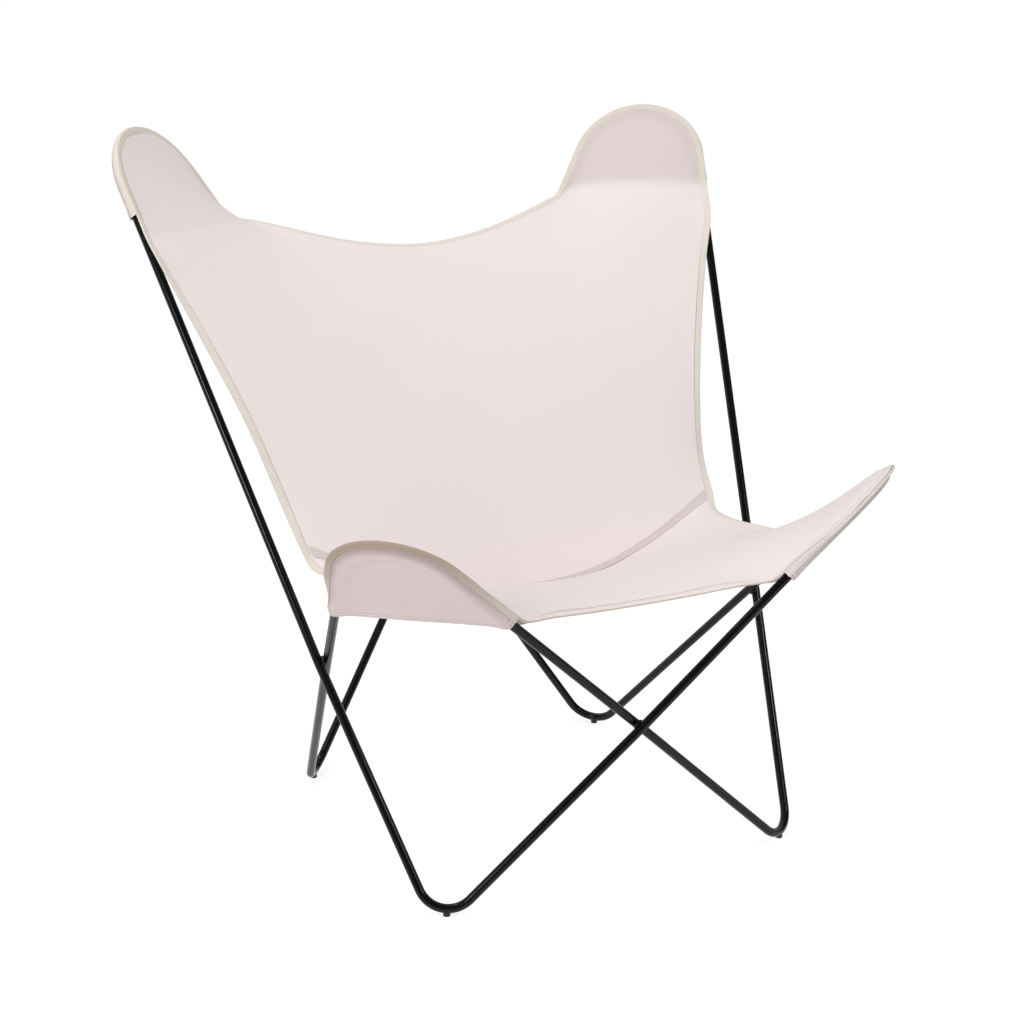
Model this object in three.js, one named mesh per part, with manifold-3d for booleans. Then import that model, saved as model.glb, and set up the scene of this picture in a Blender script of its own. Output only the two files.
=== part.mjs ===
// A butterfly sling chair: two bent rod loops, welded where they cross, hold a canvas sling by
// four pockets that slip over their horns.
// Millimetres. X runs across the chair, +Y to its back and +Z up. The feet stand on z = 0.
import * as THREE from 'three';
import { mergeVertices } from 'three/addons/utils/BufferGeometryUtils.js';
import Module from 'manifold-3d';

const wasm = await Module();
wasm.setup();

// Frame: where the straight legs would meet, and the bends that round them off.
const rodDiameter = 12;
const fitGap = 0.3; // left between pieces that touch
const frontFootLine = -307.7; // y of the front feet, which puts the origin under the middle
const footDepth = 500;
const frontFootHalfWidth = 266;
const backFootHalfWidth = 238;
const footBendRadius = 40;
const frontHornHalfWidth = 408;
const frontHornReach = 94; // ahead of the front feet
const frontHornHeight = 586;
const frontHornRadius = 72;
const backHornHalfWidth = 509;
const backHornReach = 260; // behind the back feet
const backHornHeight = 1160;
const backHornRadius = 92;

// Welded crossings.
const frontCrossReach = 38; // ahead of the front feet
const frontCrossHeight = 224;
const backCrossReach = 73; // behind the back feet
const backCrossHeight = 345;
const sideCrossBack = 205; // behind the front feet
const sideCrossHeight = 286;
const sideCrossHalfWidth = 329;
const beadRadius = 8;
const beadHalfHeight = 5.5;

// Glides under the feet.
const glideDiameter = 9.5;
const glideHeight = 3.6;
const glideChamfer = 0.6;

// Canvas.
const clothThickness = 1.6;
const bindingThickness = 2.4;
const bindingWidth = 12;
const clothGap = 0.9; // the canvas edge's clearance under the rod
const earLift = 1.5; // the edge's extra clearance where it leaves the rod
const edgeGap = 0.7; // between the panel and its binding
const earMargin = 10.5; // canvas beyond the rod's centre line
const flangeWidth = 3.6; // where a pocket is sewn to the panel
const flangeGap = 0.5;
const pocketRise = 2; // the pocket's clearance over the rod's surface, to its middle
const backEarTopLength = 78; // where the canvas edge leaves the rod, past the bend
const backEarSideLength = 98;
const frontEarCentreLength = 132;
const frontEarSideLength = 134;
const backMouthTopLength = 66; // where a pocket ends, past the bend
const backMouthSideLength = 42;
const frontMouthLength = 117;
const topEdgeBack = 612; // behind the front feet
const topEdgeHeight = 747;
const seamEndHalfWidth = 317;
const seamEndBack = 292;
const seamEndHeight = 402;
const seamMiddleBack = 273;
const seamMiddleHeight = 310;
const seamGap = 1.8;
const seamTapeWidth = 13;
const seamTapeThickness = 0.8;
const seamTapeGap = 1.6; // between the tape and the panels it covers
const frontEdgeReach = 31;
const frontEdgeHeight = 382;

// Free stretches of the canvas edge, as shares of the way from one named point to the next.
const topEdgeShares = [[0.39, 0.17, 0.2], [0.79, 0.53, 0.725]];
const sideEdgeShares = [[0.36, 0.25, 0.29], [0.69, 0.52, 0.58], [0.91, 0.77, 0.85]];
const seatEdgeShares = [[-0.1, 0.07, 0.94], [-0.24, 0.33, 1.1], [0.1, 0.62, 1.12]];
const frontEdgeShares = [[0.36, 0.13, 0.13], [0.7, 0.49, 0.49]];
const seamShares = [[0.35, -0.2, 0.12], [0.67, 0.1, 0.48]];

// Shares of an ear's straight legs and of half its bend where the canvas edge has its points, and
// shares of a pocket's straight legs where it has its rings.
const straightShares = [1, 0.85, 0.4];
const roundShares = [1, 2 / 3, 1 / 3, 0];
const mouthShares = [1, 1 / 2];

// Facets.
const rodSides = 16;
const footBendSteps = 10;
const frontHornSteps = 10;
const backHornSteps = 12;
const beadSides = 20;
const beadRings = 12;
const glideSides = 24;
const seamTapeSteps = 30;
const pocketRungs = 6;
const relaxPasses = 400;

const rodRadius = rodDiameter / 2;
const panelOffset = rodRadius + clothGap + bindingThickness / 2;

const V = (x, y, z) => new THREE.Vector3(x, y, z);
const mix = (a, b, share) => a.clone().lerp(b, share);
const mirrored = (p) => V(-p.x, p.y, p.z);

const paint = new THREE.MeshStandardMaterial({ color: 0x0d0d0e, roughness: 0.28, metalness: 0.6 });
const plastic = new THREE.MeshStandardMaterial({ color: 0x141414, roughness: 0.55, metalness: 0 });
const canvas = new THREE.MeshStandardMaterial({ color: 0xece3e1, roughness: 0.9, metalness: 0 });
const tape = new THREE.MeshStandardMaterial({ color: 0xe5ded4, roughness: 0.85, metalness: 0 });

const chair = new THREE.Group();
function add(name, geometry, material) {
  const mesh = new THREE.Mesh(geometry, material);
  mesh.name = name;
  chair.add(mesh);
  return mesh;
}

// A closed mesh as a solid that can be cut, and back again.
function solidOf(geometry) {
  const bare = new THREE.BufferGeometry();
  const loose = geometry.index ? geometry.toNonIndexed() : geometry;
  bare.setAttribute('position', loose.getAttribute('position'));
  const merged = mergeVertices(bare, 1e-4);
  return new wasm.Manifold(new wasm.Mesh({
    numProp: 3,
    vertProperties: new Float32Array(merged.attributes.position.array),
    triVerts: new Uint32Array(merged.index.array),
  }));
}
function geometryOf(solid) {
  const mesh = solid.getMesh();
  const geometry = new THREE.BufferGeometry();
  geometry.setAttribute('position', new THREE.BufferAttribute(mesh.vertProperties, 3));
  geometry.setIndex(new THREE.BufferAttribute(mesh.triVerts, 1));
  return geometry;
}

// Corners of the wire frame. side is -1 for the sitter's right, the left of the front view.
const feet = {
  front: (side) => V(side * frontFootHalfWidth, frontFootLine, 0),
  back: (side) => V(side * backFootHalfWidth, frontFootLine + footDepth, 0),
};
const horns = {
  front: (side) => V(side * frontHornHalfWidth, frontFootLine - frontHornReach, frontHornHeight),
  back: (side) => V(side * backHornHalfWidth, frontFootLine + footDepth + backHornReach, backHornHeight),
};

// Where a leg passes its weld. The rods lie against each other there: one loop crosses in front
// of the other at the front and the back, and the leg from a front foot passes outside at a side.
const halfCross = (rodDiameter + fitGap) / 2;
const crossings = {
  front: (lead) => V(0, frontFootLine - frontCrossReach + lead * halfCross, frontCrossHeight),
  back: (lead) => V(0, frontFootLine + footDepth + backCrossReach + lead * halfCross, backCrossHeight),
  side: (side, out) => V(
    side * (sideCrossHalfWidth + out * halfCross), frontFootLine + sideCrossBack, sideCrossHeight),
};

// The arc that rounds a corner between the ways to two other points, as points along it.
function bend(corner, from, to, radius, steps) {
  const a = from.clone().sub(corner).normalize();
  const b = to.clone().sub(corner).normalize();
  const half = a.angleTo(b) / 2;
  const middle = a.clone().add(b).normalize();
  const centre = corner.clone().addScaledVector(middle, radius / Math.sin(half));
  const across = b.clone().sub(a).normalize();
  const points = [];
  for (let i = 0; i <= steps; i++) {
    const turn = (2 * i / steps - 1) * (Math.PI / 2 - half);
    points.push(centre.clone().addScaledVector(middle, -radius * Math.cos(turn))
      .addScaledVector(across, radius * Math.sin(turn)));
  }
  return points;
}

// A foot's corner lies below its bend, by as much as puts the bend's lowest rod on the glide.
function footCorner(foot, from, to) {
  const corner = foot.clone();
  for (let pass = 0; pass < 6; pass++) {
    const low = Math.min(...bend(corner, from, to, footBendRadius, footBendSteps).map((p) => p.z));
    corner.z += glideHeight + rodRadius - low;
  }
  return corner;
}

// A path whose steps fall on chosen points, so a bend has its own share of them.
class StationPath extends THREE.Curve {
  constructor(points) {
    super();
    this.points = points;
  }

  getPoint(t, target = V(0, 0, 0)) {
    const place = Math.min(Math.max(t, 0), 1) * (this.points.length - 1);
    const index = Math.min(Math.floor(place), this.points.length - 2);
    return target.lerpVectors(this.points[index], this.points[index + 1], place - index);
  }

  getUtoTmapping(u) {
    return u;
  }
}

// The plane of a right-hand horn, as a set of directions: down between its legs, out to the leg
// that runs to the side crossing, and away from the sitter.
class HornPlane {
  constructor(corner, [sideWeld, centreWeld], radius, steps) {
    const a = sideWeld.clone().sub(corner).normalize();
    const b = centreWeld.clone().sub(corner).normalize();
    this.half = a.angleTo(b) / 2;
    this.down = a.clone().add(b).normalize();
    this.out = a.clone().sub(b).normalize();
    this.away = this.down.clone().cross(this.out).normalize();
    if (this.away.z > 0) this.away.negate();
    this.radius = radius;
    this.steps = steps;
    this.reach = Math.PI / 2 - this.half;
    this.centre = corner.clone().addScaledVector(this.down, radius / Math.sin(this.half));
  }

  // The rod's own points, from its centre leg round to its side leg. The centre leg runs straight
  // down to where the canvas leaves it, and from there to its own side of the weld.
  rod(straight, side) {
    const points = [this.along(-1, straight, 0, 0)];
    for (let i = 0; i <= this.steps; i++) {
      points.push(this.round((2 * i / this.steps - 1) * this.reach, 0, 0));
    }
    return side < 0 ? points.map(mirrored) : points;
  }

  // A point at an angle round the bend, a margin outside the rod's middle and a height off its plane.
  round(turn, margin, height) {
    return this.centre.clone()
      .addScaledVector(this.down, -(this.radius + margin) * Math.cos(turn))
      .addScaledVector(this.out, (this.radius + margin) * Math.sin(turn))
      .addScaledVector(this.away, height);
  }

  // The same along a straight leg, past the end of the bend. side is 1 for the outer leg.
  along(side, length, margin, height) {
    return this.round(side * this.reach, margin, height)
      .addScaledVector(this.down, length * Math.cos(this.half))
      .addScaledVector(this.out, side * length * Math.sin(this.half));
  }
}
const backHorn = new HornPlane(
  horns.back(1), [crossings.side(1, 1), crossings.back(0)], backHornRadius, backHornSteps);
const frontHorn = new HornPlane(
  horns.front(1), [crossings.side(1, -1), crossings.front(0)], frontHornRadius, frontHornSteps);

// One loop. It starts and ends at the top of its back horn, where the two ends of the bar meet.
// side is the side of its front foot and back horn; the one at -X passes in front at the welds.
function loopStations(side) {
  const outer = crossings.side(side, 1);
  const inner = crossings.side(-side, -1);
  const front = crossings.front(side);
  const back = crossings.back(side);
  const footBend = (foot, from, to) => (
    bend(footCorner(foot, from, to), from, to, footBendRadius, footBendSteps));
  const bends = [footBend(feet.front(side), outer, front), footBend(feet.back(-side), inner, back)];
  const top = backHorn.rod(backEarTopLength, side);
  const half = 1 + backHornSteps / 2;
  const along = top[half + 1].clone().sub(top[half - 1]).normalize();
  const end = (way) => top[half].clone().addScaledVector(along, way * fitGap / 2);
  return {
    points: [end(1), ...top.slice(half + 1), outer, ...bends[0], front,
      ...frontHorn.rod(frontEarCentreLength, -side), inner, ...bends[1], back,
      ...top.slice(0, half), end(-1)],
    lows: bends.map((points) => points.reduce((a, b) => (a.z < b.z ? a : b))),
  };
}
function rodGeometry(points, radius) {
  const section = new THREE.Shape();
  for (let i = 0; i < rodSides; i++) {
    const turn = 2 * Math.PI * i / rodSides;
    section[i ? 'lineTo' : 'moveTo'](radius * Math.cos(turn), radius * Math.sin(turn));
  }
  section.closePath();
  const extrudePath = new StationPath(points);
  return new THREE.ExtrudeGeometry(section, { steps: points.length - 1, extrudePath });
}

const loops = [-1, 1].map(loopStations);
add('rod_loop_left', rodGeometry(loops[0].points, rodRadius), paint);
add('rod_loop_right', rodGeometry(loops[1].points, rodRadius), paint);
const clearRods = loops.map((loop) => solidOf(rodGeometry(loop.points, rodRadius + fitGap)));

// A weld bead fills the four crotches round the spot where two rods cross.
function weldBead(name, a, b) {
  const centre = mix(a, b, 1 / 2);
  const bead = new THREE.SphereGeometry(beadRadius, beadSides, beadRings);
  bead.scale(1, beadHalfHeight / beadRadius, 1);
  bead.applyQuaternion(new THREE.Quaternion().setFromUnitVectors(V(0, 1, 0), b.clone().sub(a).normalize()));
  bead.translate(centre.x, centre.y, centre.z);
  add(name, geometryOf(solidOf(bead).subtract(clearRods[0]).subtract(clearRods[1])), paint);
}
weldBead('weld_front', crossings.front(-1), crossings.front(1));
weldBead('weld_back', crossings.back(-1), crossings.back(1));
weldBead('weld_left', crossings.side(-1, -1), crossings.side(-1, 1));
weldBead('weld_right', crossings.side(1, -1), crossings.side(1, 1));

// A glide stands under the lowest spot of each foot's bend, and its top is hollowed to the rod.
function glide(name, low, rods) {
  const r = glideDiameter / 2;
  const top = low.z - rodRadius / 2;
  const profile = [[0, 0], [r - glideChamfer, 0], [r, glideChamfer], [r, top], [0, top]];
  const blank = new THREE.LatheGeometry(profile.map(([x, y]) => new THREE.Vector2(x, y)), glideSides);
  blank.rotateX(Math.PI / 2);
  blank.translate(low.x, low.y, 0);
  add(name, geometryOf(solidOf(blank).subtract(rods)), plastic);
}
glide('glide_front_left', loops[0].lows[0], clearRods[0]);
glide('glide_back_right', loops[0].lows[1], clearRods[0]);
glide('glide_front_right', loops[1].lows[0], clearRods[1]);
glide('glide_back_left', loops[1].lows[1], clearRods[1]);

// Points between two named ones, each axis by its own share.
function between(from, to, shares) {
  return shares.map(([x, y, z]) => V(
    from.x + (to.x - from.x) * x, from.y + (to.y - from.y) * y, from.z + (to.z - from.z) * z));
}

// The canvas edge, right half, from the middle of the top edge round to the middle of the front.
const topMiddle = V(0, frontFootLine + topEdgeBack, topEdgeHeight);
const frontMiddle = V(0, frontFootLine - frontEdgeReach, frontEdgeHeight);
const seamEnd = V(seamEndHalfWidth, frontFootLine + seamEndBack, seamEndHeight);
const seamMiddle = V(0, frontFootLine + seamMiddleBack, seamMiddleHeight);
function earPoints(horn, centreLength, sideLength, margin) {
  const leg = (side, length) => straightShares.map((share) => (
    horn.along(side, share * length, margin, -panelOffset - (share < 1 ? 0 : earLift))));
  const tip = [...roundShares.map((s) => -s), ...roundShares.slice(0, -1).reverse()]
    .map((s) => horn.round(s * horn.reach, margin, -panelOffset));
  return [...leg(-1, centreLength), ...tip, ...leg(1, sideLength).reverse()];
}
const backEar = (margin) => earPoints(backHorn, backEarTopLength, backEarSideLength, margin);
const frontEar = (margin) => (
  earPoints(frontHorn, frontEarCentreLength, frontEarSideLength, margin).reverse());
const backCorners = backEar(earMargin);
const frontCorners = frontEar(earMargin);
const earMiddle = (backCorners.length - 1) / 2;

// The free points of the right half, in the stretches between the ears.
const freeTop = [topMiddle, ...between(topMiddle, backCorners[0], topEdgeShares)];
const freeSide = [...between(backCorners.at(-1), seamEnd, sideEdgeShares), seamEnd,
  ...between(seamEnd, frontCorners[0], seatEdgeShares)];
const freeFront = [...between(frontMiddle, frontCorners.at(-1), frontEdgeShares).reverse(), frontMiddle];
const backTip = freeTop.length + earMiddle;
const seamKnot = freeTop.length + backCorners.length + sideEdgeShares.length;
const frontTip = freeTop.length + backCorners.length + freeSide.length + earMiddle;
const frontKnot = frontTip + earMiddle + freeFront.length;

// A stretch of the closed edge between two of its knots. Its stations are where columns or rows of
// the panels meet it: each has its knot, its place on the stretch and its share of the length.
class Stretch extends THREE.Curve {
  constructor(knots, from, to) {
    super();
    this.ring = new THREE.CatmullRomCurve3(knots, true, 'centripetal');
    Object.assign(this, { from, to, count: knots.length });
    this.stations = [];
    const way = Math.sign(to - from);
    for (let knot = from; knot !== to; knot += way) {
      const steps = isStraight((knot + way / 2 + this.count) % this.count) ? 1 : 2;
      for (let i = 0; i < steps; i++) this.stations.push({ knot: knot + way * i / steps });
    }
    this.stations.push({ knot: to });
    let run = 0;
    this.stations.forEach((station, i) => {
      station.t = (station.knot - from) / (to - from);
      station.point = this.getPoint(station.t);
      if (i) run += station.point.distanceTo(this.stations[i - 1].point);
      station.run = run;
    });
    for (const station of this.stations) station.share = station.run / run;
  }

  getPoint(t, target) {
    const knot = this.from + (this.to - this.from) * t;
    return this.ring.getPoint(((knot + this.count) % this.count) / this.count, target);
  }

  spot(station) {
    return this.getPoint(station.t);
  }
}

// Whether a place on the edge, in knots, is on a straight leg of an ear, where one step will do.
function isStraight(place) {
  const folded = Math.min(place, 2 * frontKnot - place);
  const fromTip = Math.min(Math.abs(folded - backTip), Math.abs(folded - frontTip));
  return fromTip > roundShares.length - 1 && fromTip < earMiddle;
}
function ringOf(margin, top, side, front) {
  const half = [...top.slice(1), ...backEar(margin), ...side, ...frontEar(margin), ...front.slice(0, -1)];
  return [top[0], ...half, front.at(-1), ...half.map(mirrored).reverse()];
}

// The cross seam, from its left end to its right.
class Seam extends THREE.CatmullRomCurve3 {
  constructor(end) {
    const half = between(seamMiddle, end, seamShares);
    super([mirrored(end), ...half.map(mirrored).reverse(), seamMiddle, ...half, end], false, 'centripetal');
  }

  spot(station) {
    return this.getPointAt(station.share);
  }
}

// A four-sided sheet held at its edges and stretched tight between them: a grid whose columns run
// from its far edge to its near one and whose rows run from left to right.
class Sheet {
  constructor(far, near, left, right) {
    this.columns = far.stations || near.stations;
    this.rows = right.stations;
    this.width = far.getLength() / 2 + near.getLength() / 2;
    this.depth = right.getLength();
    this.seamIsNear = near instanceof Seam;
    const us = this.columns.map((column) => column.share);
    const vs = this.rows.map((row) => row.share);
    const ends = [0, us.length - 1].map((i) => [far, near].map((edge) => edge.spot(this.columns[i])));
    this.grid = this.rows.map((row, j) => this.columns.map((column, i) => {
      if (i === 0) return left.spot(row);
      if (i === us.length - 1) return right.spot(row);
      if (j === 0) return far.spot(column);
      if (j === vs.length - 1) return near.spot(column);
      return mix(mix(ends[0][0], ends[1][0], us[i]), mix(ends[0][1], ends[1][1], us[i]), vs[j]);
    }));
    for (let pass = 0; pass < relaxPasses; pass++) {
      for (let j = 1; j < vs.length - 1; j++) {
        for (let i = 1; i < us.length - 1; i++) {
          const wide = (vs[j + 1] - vs[j - 1]) * this.depth / this.width;
          const deep = (us[i + 1] - us[i - 1]) * this.width / this.depth;
          const pulls = [
            [0, -1, wide / (us[i] - us[i - 1])], [0, 1, wide / (us[i + 1] - us[i])],
            [-1, 0, deep / (vs[j] - vs[j - 1])], [1, 0, deep / (vs[j + 1] - vs[j])],
          ];
          const total = pulls.reduce((sum, [, , weight]) => sum + weight, 0);
          const point = this.grid[j][i].set(0, 0, 0);
          for (const [dj, di, weight] of pulls) {
            point.addScaledVector(this.grid[j + dj][i + di], weight / total);
          }
        }
      }
    }
  }

  // A point near the seam, a distance up the sheet from a place along it.
  offSeam(share, distance) {
    const rows = this.seamIsNear ? this.grid.slice().reverse() : this.grid;
    const after = Math.max(this.columns.findIndex((column) => column.share >= share), 1);
    const [from, to] = [this.columns[after - 1].share, this.columns[after].share];
    const [edge, next] = rows.slice(0, 2)
      .map((row) => mix(row[after - 1], row[after], (share - from) / (to - from)));
    return edge.addScaledVector(next.sub(edge).normalize(), distance);
  }
}
function sheets(knots) {
  const all = knots.length;
  const seam = new Seam(knots[seamKnot]);
  const back = new Sheet(new Stretch(knots, -backTip, backTip), seam,
    new Stretch(knots, all - backTip, all - seamKnot), new Stretch(knots, backTip, seamKnot));
  const seat = new Sheet(seam, new Stretch(knots, all - frontTip, frontTip),
    new Stretch(knots, all - seamKnot, all - frontTip), new Stretch(knots, seamKnot, frontTip));
  return { back, seat, seam };
}

// The edge again, a distance further in. Round the ears that is a smaller margin outside the rod,
// and elsewhere it follows the canvas, straight in from the edge.
const outerKnots = ringOf(earMargin, freeTop, freeSide, freeFront);
const rough = sheets(outerKnots);
function inwardFrom(knot) {
  const sheet = knot <= seamKnot ? rough.back : rough.seat;
  const find = (stations) => stations.findIndex((station) => station.knot === knot);
  let inner;
  if (knot > backTip && knot < frontTip) inner = sheet.grid[find(sheet.rows)].at(-2);
  else inner = sheet.grid.at(knot < backTip ? 1 : -2)[find(sheet.columns)];
  const along = outerKnots[knot + 1].clone().sub(outerKnots.at(knot - 1)).normalize();
  const way = inner.clone().sub(outerKnots[knot]);
  return way.addScaledVector(along, -way.dot(along)).normalize();
}
function insetKnots(distance) {
  const moved = (points, first) => points.map((point, i) => point.clone()
    .addScaledVector(inwardFrom(first + i), distance));
  return ringOf(earMargin - distance, moved(freeTop, 0), moved(freeSide, backTip + earMiddle + 1),
    moved(freeFront, frontTip + earMiddle + 1));
}
const tapeKnots = insetKnots(bindingWidth);
const panelKnots = insetKnots(bindingWidth + edgeGap);
const cloth = sheets(panelKnots);

// A closed shell of even thickness round an open surface, given as points and triangles.
function shell(points, triangles, thickness) {
  const normals = points.map(() => V(0, 0, 0));
  const edges = new Map();
  for (const [a, b, c] of triangles) {
    const face = points[b].clone().sub(points[a]).cross(points[c].clone().sub(points[a]));
    for (const corner of [a, b, c]) normals[corner].add(face);
    for (const [from, to] of [[a, b], [b, c], [c, a]]) {
      if (edges.has(`${to} ${from}`)) edges.delete(`${to} ${from}`);
      else edges.set(`${from} ${to}`, [from, to]);
    }
  }
  const places = [1 / 2, -1 / 2].flatMap((share) => points.map((point, i) => point.clone()
    .addScaledVector(normals[i].clone().normalize(), share * thickness)));
  const under = points.length;
  const index = [];
  for (const [a, b, c] of triangles) index.push(a, b, c, under + a, under + c, under + b);
  for (const [from, to] of edges.values()) {
    index.push(from, under + from, to, to, under + from, under + to);
  }
  const geometry = new THREE.BufferGeometry();
  geometry.setAttribute('position', new THREE.Float32BufferAttribute(places.flatMap((p) => p.toArray()), 3));
  geometry.setIndex(index);
  return geometry;
}

// The triangles of a grid of points, given row by row.
function gridTriangles(columns, rows) {
  const triangles = [];
  for (let j = 0; j < rows; j++) {
    for (let i = 0; i < columns; i++) {
      const a = j * (columns + 1) + i;
      const b = a + columns + 1;
      triangles.push([a, b, a + 1], [a + 1, b, b + 1]);
    }
  }
  return triangles;
}
function panelGeometry(sheet) {
  const grid = sheet.grid.map((row) => row.map((point) => point.clone()));
  const [edge, next] = sheet.seamIsNear ? [grid.at(-1), grid.at(-2)] : grid;
  edge.forEach((point, i) => point.addScaledVector(next[i].clone().sub(point).normalize(), seamGap / 2));
  return shell(grid.flat(), gridTriangles(grid[0].length - 1, grid.length - 1), clothThickness);
}
add('back_panel', panelGeometry(cloth.back), canvas);
add('seat_panel', panelGeometry(cloth.seat), canvas);

// The tape that covers the cross seam, on the sitter's side of both panels.
function seamTapeGeometry() {
  const drop = clothThickness / 2 + seamTapeGap + seamTapeThickness / 2;
  const points = [];
  const parts = [-1, -1 / 2, 0, 1 / 2, 1];
  for (const part of parts) {
    for (let i = 0; i <= seamTapeSteps; i++) {
      const share = i / seamTapeSteps;
      const run = cloth.seam.getTangentAt(share);
      const middle = cloth.seam.getPointAt(share);
      const sides = [cloth.back, cloth.seat];
      const offs = sides.map((sheet, k) => sheet.offSeam(share, seamTapeWidth).sub(middle)
        .cross(run).multiplyScalar(k ? 1 : -1).normalize());
      const off = part < 0 ? offs[0] : offs[1];
      if (!part) off.add(offs[0]).divideScalar(1 + off.dot(offs[0]));
      points.push(sides[part < 0 ? 0 : 1].offSeam(share, Math.abs(part) * seamTapeWidth / 2)
        .addScaledVector(off, drop));
    }
  }
  return shell(points, gridTriangles(seamTapeSteps, parts.length - 1), seamTapeThickness);
}
add('cross_seam_tape', seamTapeGeometry(), tape);

// Binding: a folded tape round the canvas edge, in four lengths that meet at the ears' tips.
function bindingGeometry(from, to) {
  const outer = new Stretch(outerKnots, from, to);
  const inner = new Stretch(tapeKnots, from, to);
  const trim = fitGap / 2 / outer.stations.at(-1).run;
  const places = outer.stations.map(({ t }) => Math.min(Math.max(t, trim), 1 - trim));
  const points = [outer, inner].flatMap((edge) => places.map((t) => edge.getPoint(t)));
  return shell(points, gridTriangles(places.length - 1, 1), bindingThickness);
}
const fullRing = outerKnots.length;
add('binding_top', bindingGeometry(-backTip, backTip), tape);
add('binding_right', bindingGeometry(backTip, frontTip), tape);
add('binding_front', bindingGeometry(frontTip, fullRing - frontTip), tape);
add('binding_left', bindingGeometry(fullRing - frontTip, fullRing - backTip), tape);

// A pocket: sewn flat to the panel outside the rod, up over the rod and across between the legs.
// Its rings follow the rod from the mouth on the centre leg, round the tip, to the other leg.
function pocketGeometry(horn, centreLength, sideLength, side) {
  const over = rodRadius + pocketRise;
  const low = -panelOffset + bindingThickness / 2 + flangeGap + clothThickness / 2;
  const diagonal = over * Math.SQRT1_2;
  const section = [
    [earMargin, low], [earMargin - flangeWidth, low], [over, 0], [diagonal, diagonal], [0, over]];
  const stations = [];
  for (const share of mouthShares) stations.push(([m, h]) => horn.along(-1, share * centreLength, m, h));
  for (let i = 0; i <= horn.steps; i++) {
    const turn = (2 * i / horn.steps - 1) * horn.reach;
    stations.push(([m, h]) => horn.round(turn, m, h));
  }
  for (const share of [...mouthShares].reverse()) {
    stations.push(([m, h]) => horn.along(1, share * sideLength, m, h));
  }
  const rings = stations.map((place) => section.map(place));
  const last = section.length - 1;
  const middle = (rings.length - 1) / 2;
  const points = rings.flat();
  const triangles = [];
  const ringIndex = (i, k) => i * section.length + k;
  for (let i = 0; i < rings.length - 1; i++) {
    for (let k = 0; k < last; k++) {
      triangles.push([ringIndex(i, k), ringIndex(i, k + 1), ringIndex(i + 1, k)]);
      triangles.push([ringIndex(i + 1, k), ringIndex(i, k + 1), ringIndex(i + 1, k + 1)]);
    }
  }
  const rungs = [];
  for (let i = 0; i < middle; i++) {
    const rung = [ringIndex(i, last)];
    for (let k = 1; k < pocketRungs; k++) {
      rung.push(points.length);
      points.push(mix(rings[i][last], rings.at(-1 - i)[last], k / pocketRungs));
    }
    rung.push(ringIndex(rings.length - 1 - i, last));
    rungs.push(rung);
  }
  for (let i = 0; i < middle - 1; i++) {
    for (let k = 0; k < pocketRungs; k++) {
      triangles.push([rungs[i][k], rungs[i][k + 1], rungs[i + 1][k]]);
      triangles.push([rungs[i + 1][k], rungs[i][k + 1], rungs[i + 1][k + 1]]);
    }
  }
  const tip = ringIndex(middle, last);
  for (let k = 0; k < pocketRungs; k++) {
    triangles.push([rungs[middle - 1][k], rungs[middle - 1][k + 1], tip]);
  }
  const placed = side < 0 ? points.map(mirrored) : points;
  const turned = side < 0 ? triangles.map(([a, b, c]) => [a, c, b]) : triangles;
  return shell(placed, turned, clothThickness);
}
for (const [side, name] of [[-1, 'left'], [1, 'right']]) {
  add(`pocket_back_${name}`, pocketGeometry(backHorn, backMouthTopLength, backMouthSideLength, side), canvas);
  add(`pocket_front_${name}`, pocketGeometry(frontHorn, frontMouthLength, frontMouthLength, side), canvas);
}

export default chair;
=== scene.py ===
# %% [markdown]
# # Butterfly sling chair
#
# The chair is two closed loops of bent steel bar, welded where they cross, and a canvas sling
# that hangs from the four horns of the loops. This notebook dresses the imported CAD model. It
# makes the camera and a plain studio first, then the finishes, then the bars, and last the cloth.

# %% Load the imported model
import math

import bmesh
import bpy
import numpy as np
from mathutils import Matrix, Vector


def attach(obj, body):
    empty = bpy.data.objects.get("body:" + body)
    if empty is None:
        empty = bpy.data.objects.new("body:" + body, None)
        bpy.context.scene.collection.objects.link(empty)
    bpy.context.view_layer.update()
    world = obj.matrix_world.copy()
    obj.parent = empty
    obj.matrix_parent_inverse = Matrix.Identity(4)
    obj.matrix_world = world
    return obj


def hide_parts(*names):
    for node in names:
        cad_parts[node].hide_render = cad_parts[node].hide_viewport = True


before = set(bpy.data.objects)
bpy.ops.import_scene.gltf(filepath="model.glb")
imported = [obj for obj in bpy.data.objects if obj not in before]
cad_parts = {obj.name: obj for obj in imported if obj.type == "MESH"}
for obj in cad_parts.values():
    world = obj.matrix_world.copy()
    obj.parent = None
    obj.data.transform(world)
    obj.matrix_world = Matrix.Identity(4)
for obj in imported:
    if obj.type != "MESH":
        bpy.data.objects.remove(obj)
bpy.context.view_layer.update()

MM = 0.001


# %% Selecting
def deselect():
    """The CAD nodes are selected when they load, and an operator acts on all that is selected."""
    if bpy.context.object and bpy.context.object.mode != "OBJECT":
        bpy.ops.object.mode_set(mode="OBJECT")
    bpy.ops.object.select_all(action="DESELECT")


def make_active(piece):
    """Selects one piece alone, for the operators that follow."""
    deselect()
    piece.select_set(True)
    bpy.context.view_layer.objects.active = piece


deselect()
print("selected:", len(bpy.context.selected_objects))

# %% [markdown]
# ## Camera
# A long lens, a little over the chair and to its left. Its place was found by fitting the straight
# legs of the frame to the photograph, so it only has to be set here.

# %% Camera
CAMERA_PLACE, CAMERA_AIM = (-1.2627, -2.4300, 1.1982), (-0.00646, -0.0077, 0.41956)
LENS, SENSOR, ROLL = 72.627, 36, 0.050

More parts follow.
